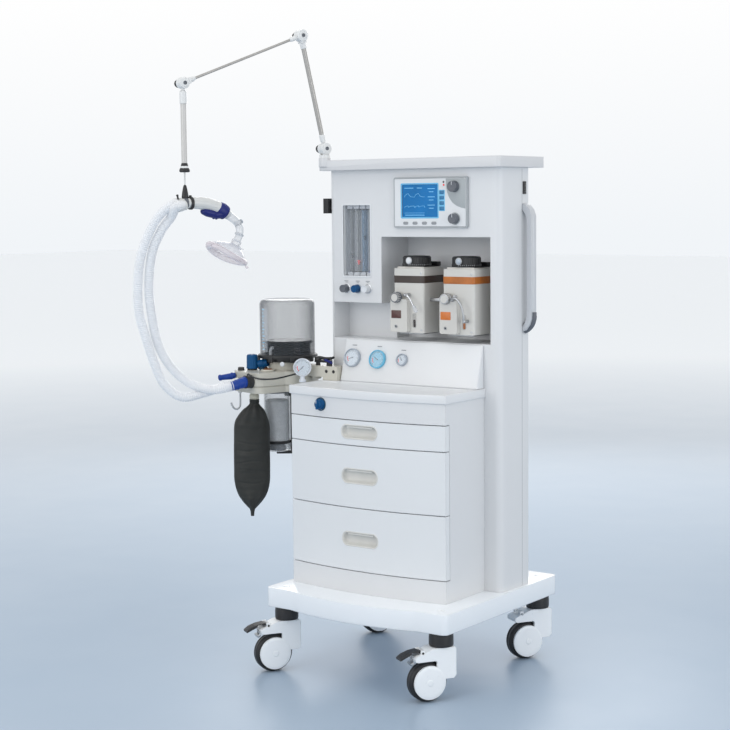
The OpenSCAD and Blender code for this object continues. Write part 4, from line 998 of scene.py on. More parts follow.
# ------------------------------------------------------------ bellows dome
bellows_foot = on_absorber(0, 140)
bellows_place = at(bellows_foot)


def on_dome(degrees, radius, z):
    """Point round the dome's axis; 0 degrees faces the camera, 90 its right."""
    angle = math.radians(degrees)
    out = TO_VIEWER * math.cos(angle) + VIEW_RIGHT * math.sin(angle)
    return Vector((bellows_foot.x + out.x * radius, bellows_foot.y + out.y * radius, z))


mesh = bmesh.new()
columns = [[mesh.verts.new(on_dome(-62 + 2.4 * k, radius, z))
            for radius, z in ((75.7, 818), (75.7, 936), (76.1, 936), (76.1, 818))]
           for k in range(9)]
bridge(mesh, columns, caps=(0, -1))
add_piece("dome_scale", mesh, "clear_tube")
angle = math.radians(-57)
along_dome = (VIEW_RIGHT * math.cos(angle) - TO_VIEWER * math.sin(angle)).normalized()
mark_turn = Matrix((along_dome, -UP.cross(along_dome), UP)).transposed()
boxes("dome_scale_marks",
      [(on_dome(-58 if k % 2 else -56, 76.3, 824 + 9 * k), (3.0 if k % 2 else 5.2, 0.25, 0.75),
        mark_turn) for k in range(13)], "key_strip")
lathe("dome_clamp_ring", [(76.2, 801.9), (81.2, 801.9), (81.2, 806.5, 1.2), (79.2, 808.4, 0.8),
                          (76.2, 808.4)], "black_plastic", bellows_place, seg=96)
for k in range(8):
    foot = on_dome(45 * k + 12, 79.6, 0)
    out = foot - bellows_foot
    box("dome_lug_%d" % k, (-7, 7), (-2.6, 2.6), (789.2, 805.4), 1.2, "black_plastic",
        at(foot) @ turn("Z", math.degrees(math.atan2(out.y, out.x)) + 90))
lathe("base_vent_knob", [(0, -4), (6.4, -4), (6.4, 1.0, 0.8), (5.6, 3.5, 1.4), (0, 4.2)],
      "knob_white", align(on_dome(-8, 82.4, 786.0), on_dome(-8, 1, 0) - bellows_foot), seg=28)
tube("dome_elbow", [on_dome(-42, 66, 804), on_dome(-42, 66, 818), on_dome(-40, 66, 826),
                    on_dome(-34, 67, 829)], 4.2, "knob_white", step=1.5, seg=16)

# the bellows itself: pleats between the base and a top plate that moves
PLEATS, PLEAT_PITCH = 6, 5.6
profile = [(20, 802.3), (58, 802.3)]
for k in range(PLEATS):
    z = 803.2 + PLEAT_PITCH * k
    if k < PLEATS - 1:
        profile += [(63.5, z + 0.4), (64.2, z + 1.6), (62.6, z + 2.9), (57.6, z + 3.9),
                    (57.2, z + 4.6)]
    else:
        profile += [(63.5, z + 0.4), (64.2, z + 1.8), (63.0, z + 3.6), (60.0, z + 4.8)]
profile += [(20, 836.0)]
pleats = lathe("bellows_pleats", profile, "bellows_rubber", bellows_place, None, seg=96,
               angle=60)
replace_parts(pleats, "bellows")
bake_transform(pleats)
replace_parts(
    lathe("bellows_plate", [(0, 836.6), (66, 836.6), (68, 838.0, 0.8), (68, 842.2, 1.0),
                            (64, 844.5, 1.0), (34, 843.0, 1.5), (30, 845.5, 1.2),
                            (10, 845.5, 0.8), (0, 845.0)],
          "bellows_rubber", bellows_place, "bellows_top", ribs=(20, 3.2, 838.0, 842.4)),
    "bellows_top")
lathe("bellows_window_ring", [(58.5, 845.2), (63, 845.2), (63, 846.8, 0.6), (58.5, 846.8)],
      "black_gloss", bellows_place @ move(z=-1.2), "bellows_top", seg=80)
for k in range(3):
    lathe("bellows_weight_%d" % k, [(0, 0), (6, 0), (6, 2.6, 1.0), (0, 3.2)], "black_gloss",
          at(on_dome(20 + 120 * k, 44, 844)), "bellows_top", seg=24)

# ---------------------------------------------- canister and its bracket
canister_foot = on_absorber(-26, 119)
canister_place = at(canister_foot)
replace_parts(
    lathe("canister_shell", [(33.2, 545), (33.2, 700), (33.8, 706), (36.0, 706, 1.0),
                             (36.0, 545, 1.0), (33.2, 545)],
          "clear_can", canister_place, seg=72), "canister")
lathe("canister_granules", [(0, 566), (32.6, 566), (32.8, 600), (32.6, 640), (32.8, 676),
                            (29, 680.5), (18, 679.0), (6, 681.5), (0, 681)],
      "granules", canister_place, seg=72)
lathe("canister_top", [(0, 700), (37.4, 700, 1.0), (38.4, 702, 1.0), (38.4, 709.5, 0.8),
                       (36, 710.8), (0, 710.8)],
      "knob_grey", canister_place, ribs=(30, 0.5, 702.2, 709))
lathe("canister_band", [(34.6, 560), (37.2, 560, 0.8), (37.4, 568, 1.0), (34.6, 568)],
      "black_plastic", canister_place, seg=72)
lathe("canister_foot", [(0, 538.8), (32, 538.8), (36.8, 541, 2.0), (36.8, 559, 1.2), (34, 560),
                        (0, 560)], "clear_can", canister_place, seg=72)
lathe("canister_foot_core", [(0, 541), (24, 541), (26, 545, 1.5), (20, 557, 2.0), (0, 558)],
      "knob_grey", canister_place)
lathe("canister_screen", [(0, 562), (33.0, 562), (33.0, 565.6), (0, 565.6)], "ring_grey",
      canister_place, seg=72)
bracket = at(canister_foot + VIEW_RIGHT * 42 + TO_VIEWER * 2) @ turn("Z", VIEW_TURN)
box("bracket_post", (-5, 5), (-9, 9), (534, 706), 2.0, "black_plastic", bracket)
box("bracket_foot", (-44, 4), (-12, 12), (531, 538.6), 2.0, "black_plastic", bracket)
box("bracket_hook", (-20, 5), (-7, 7), (691, 699), 2.0, "black_plastic", bracket @ move(y=-2))
box("bracket_latch", (-3.5, 8.5), (-12.5, -8), (596, 640), 1.6, "black_gloss", bracket)

# ------------------------------------------------ bag hook and bag
hook = on_absorber(-47, 14)
# distance to the camera's left, z
HOOK_PATH = ((0, 713), (0, 700), (0, 680), (1.5, 668), (8, 660.5), (17, 662), (23, 671),
             (25, 678))
tube("bag_hook", [hook - VIEW_RIGHT * left + UP * z for left, z in HOOK_PATH], 2.5,
     "satin_metal", step=1.5)
lathe("bag_hook_nut", [(0, -6), (6, -6), (6, 0), (0, 0)], "screw_steel", at(hook + UP * 711),
      seg=6)

# reservoir bag: flattened rubber, with side seams, gathers at both ends and soft creases
BAG_TOP, BAG_DROP = 685.0, 318.0
BAG_LEVELS, BAG_SEGMENTS = 150, 96
# fraction of the drop, half width
BAG_WIDTHS = [(0, 11.9), (0.03, 12.6), (0.052, 20), (0.08, 28.5), (0.11, 35.2), (0.167, 44),
              (0.21, 47.3), (0.253, 48.4), (0.40, 48.6), (0.66, 48.4), (0.70, 47.4),
              (0.744, 45.2), (0.79, 41.2), (0.83, 35.6), (0.875, 25.6), (0.905, 17.0),
              (0.93, 9.6), (0.945, 6.6), (0.97, 5.2), (1.0, 4.6)]
# fraction of the drop, depth
BAG_CREASES = ((0.36, 1.3), (0.42, 1.0), (0.53, 1.5), (0.60, 0.9), (0.70, 1.1))
bag_foot = on_absorber(-12, 37)


def bag_half(t):
    """Half width of the bag at a fraction t of its drop."""
    t = min(max(t, 0.0), 1.0)
    for (t0, width0), (t1, width1) in zip(BAG_WIDTHS, BAG_WIDTHS[1:]):
        if t <= t1:
            return width0 + (width1 - width0) * ((t - t0) / (t1 - t0))


def bag_deep(t):
    return min(19.0, 0.40 * bag_half(t) + 6.5, bag_half(t) + 0.2)


def smoothed(measure, t):
    return (measure(t - 0.012) + 2 * measure(t) + measure(t + 0.012)) / 4


def bag_point(t, angle, width, depth):
    """Offsets across and out of the bag at a fraction t of its drop."""
    ca, sa = math.cos(angle), math.sin(angle)
    z = BAG_TOP - BAG_DROP * t
    side = 1 if ca > 0 else -1
    face = 1 if sa > 0 else -1
    boxy = 1.0 if t < 0.06 else 1.0 - 0.16 * min(1, (t - 0.06) / 0.2)
    x = width * ca
    y = depth * math.copysign(abs(sa) ** (1 / boxy), sa)
    if 0.06 < t < 0.93:  # seam bead
        x += 1.0 * math.exp(-((1 - abs(ca)) / 0.004) ** 2) * math.copysign(1, ca)
    middle = max(0.0, min(1, (t - 0.05) / 0.1)) * max(0.0, min(1, (0.95 - t) / 0.1))
    # gathers under the neck and above the tail
    near_neck = math.exp(-((t - 0.10) / 0.075) ** 2)
    near_tail = math.exp(-((t - 0.88) / 0.07) ** 2)
    y *= (1 + 0.10 * near_neck * math.cos(9 * angle + 1.0)
          + 0.14 * near_tail * math.cos(7 * angle + 0.4))
    # wide soft dents and fine cross creases, different on the two faces
    shift = 5 if sa > 0 else 0
    dent = noise.noise(Vector((x * 0.022, z * 0.012, 3.0 + shift)))
    fine = noise.noise(Vector((x * 0.010, z * 0.085, 9.0 + shift)))
    y += (2.6 * dent + 0.75 * fine) * middle * (1 if sa >= 0 else -1) * abs(sa) ** 0.6
    for crease, amount in BAG_CREASES:
        off = t - crease - 0.012 * math.sin(x * 0.05 + crease * 20)
        y -= amount * math.exp(-(off / 0.0065) ** 2) * face * max(0, abs(sa) - 0.25) * middle
    x += 0.8 * middle * noise.noise(Vector((z * 0.02, 1.5 if side > 0 else 7.5, 0)))
    # the bag hangs a little to the camera's left
    x -= 4 * (1 - math.cos(math.pi * min(t / 0.2, 1))) + 2 * max(0, t - 0.2) / 0.8
    return bag_foot + UP * z + VIEW_RIGHT * x + TO_VIEWER * y


mesh = bmesh.new()
rings = []
for i in range(BAG_LEVELS + 1):
    t = i / BAG_LEVELS
    width, depth = smoothed(bag_half, t), smoothed(bag_deep, t)
    rings.append([mesh.verts.new(bag_point(t, 2 * math.pi * j / BAG_SEGMENTS, width, depth))
                  for j in range(BAG_SEGMENTS)])
bridge(mesh, rings, caps=(0, -1))
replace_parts(add_piece("reservoir_bag_soft", mesh, "bag_rubber", angle=75), "reservoir_bag")
lathe("bag_cuff", [(11.4, 0), (13.4, 0, 0.8), (13.6, -3, 1.0), (12.6, -4.2, 0.6),
                   (13.6, -5.6, 1.0), (13.0, -9.5, 1.2), (11.6, -10.5)],
      "bag_rubber", at(bag_foot + UP * 688.5))

# clamp between the absorber and the machine
tube("clamp_handle", [(-296, -28, 801), (-282, -30, 803), (-264, -29, 801), (-246, -28, 802),
                      (-236, -30, 805)],
     lambda i, run: 4.2 if run < 52 else 3.4, "black_plastic", step=2)
tube("clamp_tail", [(-262, -33, 797.5), (-248, -36, 794), (-236, -38, 790)], 3.4, "blue_deep",
     step=2, seg=12)
lathe("clamp_wheel", [(0, 0), (9.5, 0), (9.5, 7, 1.2), (7, 9, 1.0), (0, 9.4)], "caster_black",
      move(-290, -28, 796.6), ribs=(12, 0.9, 0.5, 6.5))
for k, x in enumerate((-250, -226)):
    lathe("arm_screw_%d" % k, [(0, -1.5), (4.6, -1.5), (4.6, 0.4, 0.4), (3.6, 0.9, 0.4),
                               (2.4, -0.6), (0, -0.8)],
          "caster_black", to_front(x, -45.0, 768), seg=28)

# ---------------------------------------------------------------- hose arm
# the arm lies in an upright plane through ARM_FOOT: s runs out along it, t across it
ARM_FOOT = Vector((-265, -21, 0))
ARM_TURN = -112.2
arm_angle = math.radians(ARM_TURN)
ARM_OUT = Vector((math.cos(arm_angle), math.sin(arm_angle), 0))
ARM_SIDE = Vector((-math.sin(arm_angle), math.cos(arm_angle), 0))


def on_arm(s, t, z):
    return ARM_FOOT + ARM_OUT * s + ARM_SIDE * t + Vector((0, 0, z))


BASE_JOINT = on_arm(0.0, 0, 1362.5)
ELBOW_JOINT = on_arm(68.0, 0, 1656.5)
TIP_S = 413.5
TIP_JOINT = on_arm(TIP_S, 0, 1523.5)
for name, joint, body, radius in (("base", BASE_JOINT, "arm_base", 15.8),
                                  ("elbow", ELBOW_JOINT, "lower_arm", 15.8),
                                  ("tip", TIP_JOINT, "upper_arm", 14.5)):
    lathe("knuckle_knob_" + name, [(0, 12.0), (5.5, 12.0), (5.5, 16.0, 0.6), (9.8, 17.5, 1.2),
                                   (11.2, 26.0, 1.8), (10.0, 31.0, 2.2), (0, 32.5)],
          "black_plastic", align(joint, -ARM_SIDE), body, ribs=(10, 1.1, 18, 30))
    across = align(joint, ARM_SIDE)
    lathe("knuckle_bolt_" + name, [(0, 12.8), (4.9, 12.8), (4.9, 15.4, 0.6), (3.0, 15.8, 0.4),
                                   (2.6, 14.6), (0, 14.4)],
          "knob_grey", across, body, seg=28)
    lathe("knuckle_case_" + name,
          [(0, -12.6), (radius - 2, -12.6), (radius, -11.0, 1.6), (radius, -1.2, 0.4),
           (radius - 0.9, -0.7, 0.2), (radius - 0.9, 0.7, 0.2), (radius, 1.2, 0.4),
           (radius, 11.0, 1.6), (radius - 2, 12.6), (0, 12.6)],
          "arm_white", across, body, seg=56)
    for sign in (1, -1):
        lathe("knuckle_ring_%s_%d" % (name, sign), [(6.2, 11.6), (10.4, 11.6),
                                                    (10.6, 12.9, 0.6), (9.2, 13.6, 0.6),
                                                    (6.2, 13.6)],
              "arm_white", align(joint, ARM_SIDE * sign), body, seg=40)


def sleeve(name, bone, start, end, profile, finish="arm_white"):
    """Turned part between two fractions of a bone; profile is a function of its length."""
    first, last, body = bone
    foot, head = first.lerp(last, start), first.lerp(last, end)
    lathe(name, profile((head - foot).length), finish, align(foot, head - foot), body, seg=32)


LOWER_BONE = (BASE_JOINT, ELBOW_JOINT, "lower_arm")
UPPER_BONE = (ELBOW_JOINT, TIP_JOINT, "upper_arm")
sleeve("lower_tube", LOWER_BONE, 0.115, 0.90,
       lambda end: [(6.1, 0), (6.35, 0), (6.35, end), (6.1, end)], "arm_tube")
sleeve("lower_ferrule", LOWER_BONE, 0.062, 0.125,
       lambda end: [(4.9, 0), (7.6, 1.0, 1.0), (7.6, end - 2, 1.0), (6.5, end), (4.9, end)])
sleeve("lower_ferrule_top", LOWER_BONE, 0.885, 0.945,
       lambda end: [(6.0, 0), (7.9, 0.8, 1.0), (8.2, end - 1, 1.0), (6.0, end)])
sleeve("upper_tube", UPPER_BONE, 0.07, 0.945,
       lambda end: [(3.25, 0), (3.45, 0), (3.45, end), (3.25, end)], "arm_tube")
sleeve("upper_ferrule", UPPER_BONE, 0.036, 0.10,
       lambda end: [(4.9, 0), (6.6, 1.0, 1.0), (6.2, end - 6, 1.0), (4.2, end), (3.4, end)])
sleeve("upper_ferrule_tip", UPPER_BONE, 0.90, 0.962,
       lambda end: [(3.4, 0), (4.4, 0), (6.6, 7, 1.0), (6.8, end, 0.6), (3.4, end)])

# drop tube and hanger, straight under the tip
drop_place = at(on_arm(TIP_S, 0, 0))
lathe("drop_tube", [(6.9, 1322), (7.35, 1322), (7.35, 1471.5), (6.9, 1471.5)], "arm_beige",
      drop_place, "drop_arm", seg=36)
lathe("drop_sleeve", [(7.1, 1474), (9.2, 1471.2, 1.0), (9.4, 1500, 1.2), (6.2, 1505),
                      (6.0, 1474)], "arm_white", drop_place, "drop_arm", seg=36)
lathe("drop_cap", [(0, 1299.0), (11.0, 1299.0), (13.4, 1300.6, 1.2), (13.6, 1305.0, 1.6),
                   (10.6, 1311.0, 3.0), (8.4, 1320.0, 1.0), (7.4, 1322.5, 0.6), (0, 1322.5)],
      "black_plastic", drop_place, "drop_arm", seg=40)
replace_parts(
    lathe("hanger_link", [(0, 1300.5), (1.5, 1300.5), (1.5, 1266), (3.0, 1267.0, 0.8),
                          (4.8, 1262, 1.5), (7.6, 1248, 2.5), (8.9, 1237, 1.6),
                          (8.4, 1233.2, 0.8), (0, 1233.0)],
          "black_plastic", drop_place, "patient_end", seg=32), "hose_hanger")
lathe("hanger_wire_sleeve", [(1.6, 1300.2), (2.1, 1299.8), (2.1, 1268), (1.6, 1267.6)],
      "hose_fitting", drop_place, "patient_end", seg=20)


# ----------------------------------------------------------------- Y-piece
def arm_loft(name, stations, finish, seg=44, ripple=0.0):
    """Oval tube through stations, each (s, t, z, half height, half width)."""
    controls = [on_arm(*station[:3]) for station in stations]
    path = spline(controls, 1.4)
    marks = [0.0]  # run along the straight lines between the stations
    for point, after in zip(controls, controls[1:]):
        marks.append(marks[-1] + (after - point).length)
    runs = [0.0]
    for point, after in zip(path, path[1:]):
        runs.append(runs[-1] + (after - point).length)
    mesh = bmesh.new()
    rings = []
    for point, run, tangent in zip(path, runs, tangents(path)):
        reached = run / runs[-1] * marks[-1]
        k = 0
        while k < len(marks) - 2 and marks[k + 1] < reached:
            k += 1
        part = min(1.0, max(0.0, (reached - marks[k]) / (marks[k + 1] - marks[k])))
        tall, wide = [low + (high - low) * part
                      for low, high in zip(stations[k][3:], stations[k + 1][3:])]
        up = tangent.cross(ARM_SIDE).normalized()
        if up.z < 0 and abs(tangent.z) < 0.9:
            up = -up
        ring = []
        for j in range(seg):
            angle = 2 * math.pi * j / seg
            swell = 1 + ripple * math.cos(18 * angle)
            ring.append(mesh.verts.new(point + ARM_SIDE * (wide * math.cos(angle) * swell)
                                       + up * (tall * math.sin(angle) * swell)))
        rings.append(ring)
    bridge(mesh, rings, caps=(0, -1))
    return add_piece(name, mesh, finish, None, "patient_end", angle=50)


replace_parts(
    arm_loft("y_body", [(425, 0, 1220.5, 10.5, 10.5), (423, 0, 1220.5, 12.2, 12.2),
                        (404, 0, 1221, 13, 14), (392, 0, 1221, 13.2, 14.5),
                        (386, 0, 1221, 14.8, 15), (370, 0, 1220.5, 16, 15.6),
                        (352, 0, 1218, 16.6, 16), (336, 0, 1213.5, 16.6, 16),
                        (320, 0, 1207, 16.4, 16), (306, 0, 1200, 15, 15)], "hose_fitting"),
    "y_piece")
arm_loft("y_lower", [(368, 0, 1203, 4, 5), (364, 0, 1200.5, 8.5, 11), (352, 0, 1197, 11, 14),
                     (338, 0, 1193.5, 11, 14.6), (330, 0, 1191, 10.2, 14),
                     (322, 0, 1191.5, 11.5, 15), (312, 0, 1193.5, 13, 16)], "blue_deep")
arm_loft("y_collar", [(323, 0, 1208, 15, 14), (321.5, 0, 1207, 18.6, 17),
                      (316, 0, 1204, 20.2, 18), (310, 0, 1201, 20.8, 18.4),
                      (304, 0, 1197.5, 20.4, 18), (298.5, 0, 1194, 18.6, 16.6),
                      (297, 0, 1193, 15, 14)], "blue_deep", ripple=0.012)
arm_loft("y_collar_lip", [(299, 0, 1194.4, 14.6, 14.6), (296.5, 0, 1192.8, 14.6, 14.6),
                          (294.5, 0, 1191.4, 13.2, 13.2)], "hose_fitting")
for k, (s, z) in enumerate(((334, 1183.8), (326, 1182.6))):
    lathe("y_latch_%d" % k, [(0, 0), (3.4, 0), (3.0, 4.0, 1.0), (0, 4.6)], "blue_deep",
          align(on_arm(s, 0, z), -UP), "patient_end", seg=20)
# strap ring at the hose junction and the clip of the hanger
for name, s, z, radius, half, finish in (
        ("hose_strap", 398.5, 1221, 16.6, 4.0, "black_plastic"),
        ("hanger_clip", 414.0, 1220.8, 14.6, 4.8, "knob_grey")):
    lathe(name, [(radius - 2.2, -half), (radius, -half, 0.8), (radius + 0.3, 0),
                 (radius, half, 0.8), (radius - 2.2, half)],
          finish, align(on_arm(s, 0, z), -ARM_OUT), "patient_end", seg=44)
lathe("hose_strap_lug", [(0, 0), (3.6, 0), (3.6, 5, 1.0), (0, 5.6)], "black_plastic",
      align(on_arm(399, 0, 1235.8), UP), "patient_end", seg=20)
lathe("pressure_tap", [(0, 0), (2.4, 0), (2.4, 8, 0.6), (3.2, 9, 0.4), (3.2, 12, 0.6),
                       (0, 12.6)],
      "black_plastic", align(on_arm(432, -2, 1231), UP + ARM_OUT * 0.25), "patient_end", seg=16)
# clear elbow down to the mask, with its side port
arm_loft("mask_elbow", [(301, 0, 1195.5, 11.4, 11.4), (292, 0, 1189.6, 11.2, 11.2),
                        (280, 0, 1181.4, 10.6, 10.6), (268.5, 0, 1172.5, 10.2, 10.2),
                        (261.5, 1, 1161, 10.0, 10.0), (259.8, 2, 1148, 9.8, 9.8),
                        (263, 3, 1135, 9.8, 9.8), (269.4, 3, 1122.4, 10.2, 10.2)],
         "elbow_clear", seg=36)
port = align(on_arm(264.5, 0.5, 1169), ARM_OUT * -0.93 + UP * 0.36)
lathe("elbow_port", [(0, -8), (5.6, -8), (5.6, 6, 0.6), (6.8, 7, 0.6), (6.8, 10.5, 0.8),
                     (0, 11)], "elbow_clear", port, "patient_end", seg=28)
lathe("elbow_cap", [(0, 10.6), (5.6, 10.6), (5.4, 13.6, 1.0), (0, 14.4)], "ring_grey", port,
      "patient_end", seg=28)
for k, (start, end) in enumerate((((292, 0, 1189.6), (286, 0, 1185.5)),
                                  ((261.6, 2.6, 1139), (264.2, 3, 1132.6)))):
    lathe("elbow_ring_%d" % k, [(9.8, -2), (12.2, -2, 0.7), (12.2, 2, 0.7), (9.8, 2)],
          "elbow_clear", align(on_arm(*start), on_arm(*end) - on_arm(*start)), "patient_end",
          seg=36)

# -------------------------------------------------------------------- mask
MASK_SEGMENTS, CUSHION_SEGMENTS = 72, 20
NECK_X = -7
mask_place = at(on_arm(296, 3, 1087)) @ turn("Z", ARM_TURN) @ turn("Y", -28)
neck_place = mask_place @ move(NECK_X)
# radius and z of the round neck
MASK_NECK = ((13.2, 44), (13.2, 38), (12.6, 33))
# outline scale, z, share of the rim's saddle shape, height of the flutes
MASK_DOME = ((0.30, 29.5, 0.1, 0), (0.44, 25.5, 0.3, 0.35), (0.60, 20.5, 0.55, 0.35),
             (0.76, 14, 0.8, 0.35), (0.86, 8, 1, 0), (0.90, 3, 1, 0))


def mask_outline(angle, scale):
    """Egg-shaped outline of the mask, widest toward local +X."""
    ca, sa = math.cos(angle), math.sin(angle)
    return 57 * scale * (1 + 0.08 * ca) * ca, 43 * scale * sa * (1 + 0.12 * ca)


mask_angles = [2 * math.pi * j / MASK_SEGMENTS for j in range(MASK_SEGMENTS)]
mesh = bmesh.new()
rings = [[mesh.verts.new((radius * math.cos(a) + NECK_X, radius * math.sin(a), z))
          for a in mask_angles] for radius, z in MASK_NECK]
for scale, z, share, flute in MASK_DOME:
    ring = []
    for a in mask_angles:
        x, y = mask_outline(a, scale)
        ring.append(mesh.verts.new((x + NECK_X * (1 - share), y,
                                    z + 3.0 * math.cos(2 * a) * share
                                    + flute * math.sin(6 * a))))
    rings.append(ring)
bridge(mesh, rings)
dome = add_piece("mask_dome", mesh, "mask_clear", mask_place, "patient_end", angle=70)
wall = dome.modifiers.new("wall", "SOLIDIFY")
wall.thickness = 1.6 * MM
wall.offset = -1
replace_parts(dome, "face_mask")

mesh = bmesh.new()
rings = []
for a in mask_angles:
    x, y = mask_outline(a, 0.92)
    rim_x, rim_y = mask_outline(a, 1.0)
    out = Vector((rim_x - x, rim_y - y, 0)).normalized()
    centre = Vector((x, y, -1.5 + 3.0 * math.cos(2 * a)))
    width = 9.4 + 0.5 * noise.noise(Vector((math.cos(a) * 3, math.sin(a) * 3, 2)))
    ring = []
    for i in range(CUSHION_SEGMENTS):
        around = 2 * math.pi * i / CUSHION_SEGMENTS
        pinch = 1 - 0.16 * math.exp(-((around - math.pi / 2) / 0.35) ** 2)
        ring.append(mesh.verts.new(centre + out * (width * math.cos(around) * pinch)
                                   + UP * (8.2 * math.sin(around) * pinch)))
    rings.append(ring)
bridge(mesh, rings + rings[:1])
add_piece("mask_cushion", mesh, "mask_cushion", mask_place, "patient_end", angle=80)
lathe("mask_ring", [(13.0, 27.5), (19.5, 27.0, 0.8), (20.5, 29.0, 0.8), (19.0, 30.6, 0.6),
                    (13.0, 31.4)], "mask_clear", neck_place, "patient_end", seg=40)
for k in range(4):
    box("mask_hook_%d" % k, (18.5, 27), (-2.2, 2.2), (27.6, 30.2), 0.9, "mask_clear",
        neck_place @ turn("Z", 45 + 90 * k), "patient_end")
lathe("mask_valve", [(0, 0), (2.8, 0), (2.6, 9, 0.4), (3.6, 10, 0.4), (3.6, 14, 0.8),
                     (0, 14.6)],
      "mask_cushion", mask_place @ move(*mask_outline(math.pi, 1.02)) @ turn("Y", -112),
      "patient_end", seg=18)

# ------------------------------------------------------------------- hoses
HOSE_A = [on_absorber(-14, -12, 736), (-463, -171, 735.5), (-472, -208, 731),
          (-499, -262, 716), (-529, -312, 709), (-555, -350, 743), (-566, -376, 801),
          (-572, -400, 871), (-575, -420, 937), (-565, -433, 1006), (-545, -441, 1084),
          (-512, -440, 1151), (-480, -436, 1192), on_arm(447, -12, 1216),
          on_arm(426, -10.5, 1222)]
HOSE_B = [on_absorber(32, -19, 743), (-421, -196, 741), (-433.6, -223.2, 734),
          (-473.3, -255.3, 726), (-516.5, -293.6, 744), (-545.8, -335, 790),
          (-560.4, -366.1, 851), (-559.2, -388.7, 923), (-550.2, -407.7, 1005),
          (-527, -418.4, 1092), (-495.1, -415.9, 1151), (-466, -409.5, 1186),
          on_arm(445, 10.5, 1211), on_arm(425, 11, 1216)]
HOSE_STEP, HOSE_SEGMENTS, HOSE_PITCH = 0.95, 28, 5.7
CUFF_LENGTH = 16  # smooth length at each end
# share of the hose's length, past the connector, at which each of its five pieces starts and
# ends
HOSE_SHARES = [0.0, 0.36, 0.54, 0.72, 0.88, 1.0]


def build_hose(name, controls, skip, connector_finish):
    """Corrugated hose in five pieces; its first skip millimetres lie in the connector."""
    path = spline(controls, HOSE_STEP)
    frames = path_frames(path)  # shared, so that the pieces meet exactly
    last = len(path) - 1
    first = int(skip / HOSE_STEP)
    cuts = [first + round((last - first) * share) for share in HOSE_SHARES]

    def hose_radius(i):
        from_start = (i - first) * HOSE_STEP
        from_end = (last - i) * HOSE_STEP
        if from_start < CUFF_LENGTH or from_end < CUFF_LENGTH:
            return 12.3 + (0.3 if (from_start % 8 < 1.2 or from_end % 8 < 1.2) else 0)
        turns = 2 * math.pi * (i * HOSE_STEP) / HOSE_PITCH
        return 11.15 + 1.25 * (0.5 + 0.5 * math.cos(turns)) ** 0.8

    for piece, (start, end) in enumerate(zip(cuts, cuts[1:])):
        mesh = bmesh.new()
        rings = [path_ring(mesh, path[i], frames[i], hose_radius(i), HOSE_SEGMENTS)
                 for i in range(start, end + 1)]
        bridge(mesh, rings, caps={0: (0,), 4: (-1,)}.get(piece, ()))
        ob = add_piece("%s_%d" % (name, piece + 1), mesh, "hose_clear", body=None, angle=80)
        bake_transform(ob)
        if name == "hose_a" and piece == 0:
            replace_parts(ob, "breathing_hoses")

    # connector at the absorber
    covered = path[int(2 / HOSE_STEP):first + int(8 / HOSE_STEP)]

    def connector_radius(i, run):
        part = i / (len(covered) - 1)
        if part < 0.12:
            return 15.0
        if part < 0.2:
            return 13.6
        return 14.2 - 2.6 * (part - 0.2) + (0.7 if 0.55 < part < 0.62 else 0)

    add_piece(name + "_connector", tube_mesh(covered, connector_radius, 36), connector_finish,
              angle=40)


build_hose("hose_a", HOSE_A, 14.0, "hose_fitting")
build_hose("hose_b", HOSE_B, 40.0, "blue_cone")
# cuffs that take both hoses at the Y-piece
for name, start, end in (("a", on_arm(440, -12, 1219), on_arm(417, -8.5, 1222)),
                         ("b", on_arm(440, 10.5, 1211.5), on_arm(417, 9.5, 1217))):
    lathe("y_cuff_" + name, [(12.2, 0), (13.6, 0.4, 0.6), (13.8, 11, 0.8), (13.0, 12, 0.4),
                             (13.2, 22, 0.8), (11.5, 23.5)],
          "hose_fitting", align(start, end - start), "patient_end", seg=36)

# ----------------------------------------------------------------- casters
CASTER_X, CASTER_FRONT, CASTER_REAR = 241.9, -239.4, 231.4
CASTERS = {"fl": (-CASTER_X, CASTER_FRONT), "fr": (CASTER_X, CASTER_FRONT),
           "bl": (-CASTER_X, CASTER_REAR), "br": (CASTER_X, CASTER_REAR)}
SIDES = (("a", 1), ("b", -1))
# x and z in the caster's frame, and slope in degrees, of the ridges on the pedal
PEDAL_RIDGES = ((-92, 126.5, 18.4), (-96.4, 125.0, 18.4), (-100.8, 123.5, 18.4),
                (-105.2, 121.2, 35.3), (-109.6, 118.1, 35.3))


def brake(key, caster, foot):
    """Shoe, spring and pedal ridges of a front caster."""
    box("brake_shoe_" + key, (-86, -76), (-12, 12), (95, 103), 1.5, "satin_metal",
        caster @ move(-80, 0, 99) @ turn("Y", -28) @ move(80, 0, -99), "caster_" + key)
    heading = caster.to_3x3()
    coil = [heading @ Vector((-80 + 3 * math.cos(q * 1.25), 3 * math.sin(q * 1.25),
                              101 + q * 0.42)) + foot for q in range(28)]
    spring = tube("brake_spring_" + key, coil, 0.7, "bright_metal", None, step=1.0, seg=6)
    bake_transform(spring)
    boxes("pedal_grip_" + key,
          [((x, 0, z), (0.9, 11, 0.7), Matrix.Rotation(math.radians(-slope), 3, "Y"))
           for x, z, slope in PEDAL_RIDGES], "caster_black", caster, "pedal_" + key)


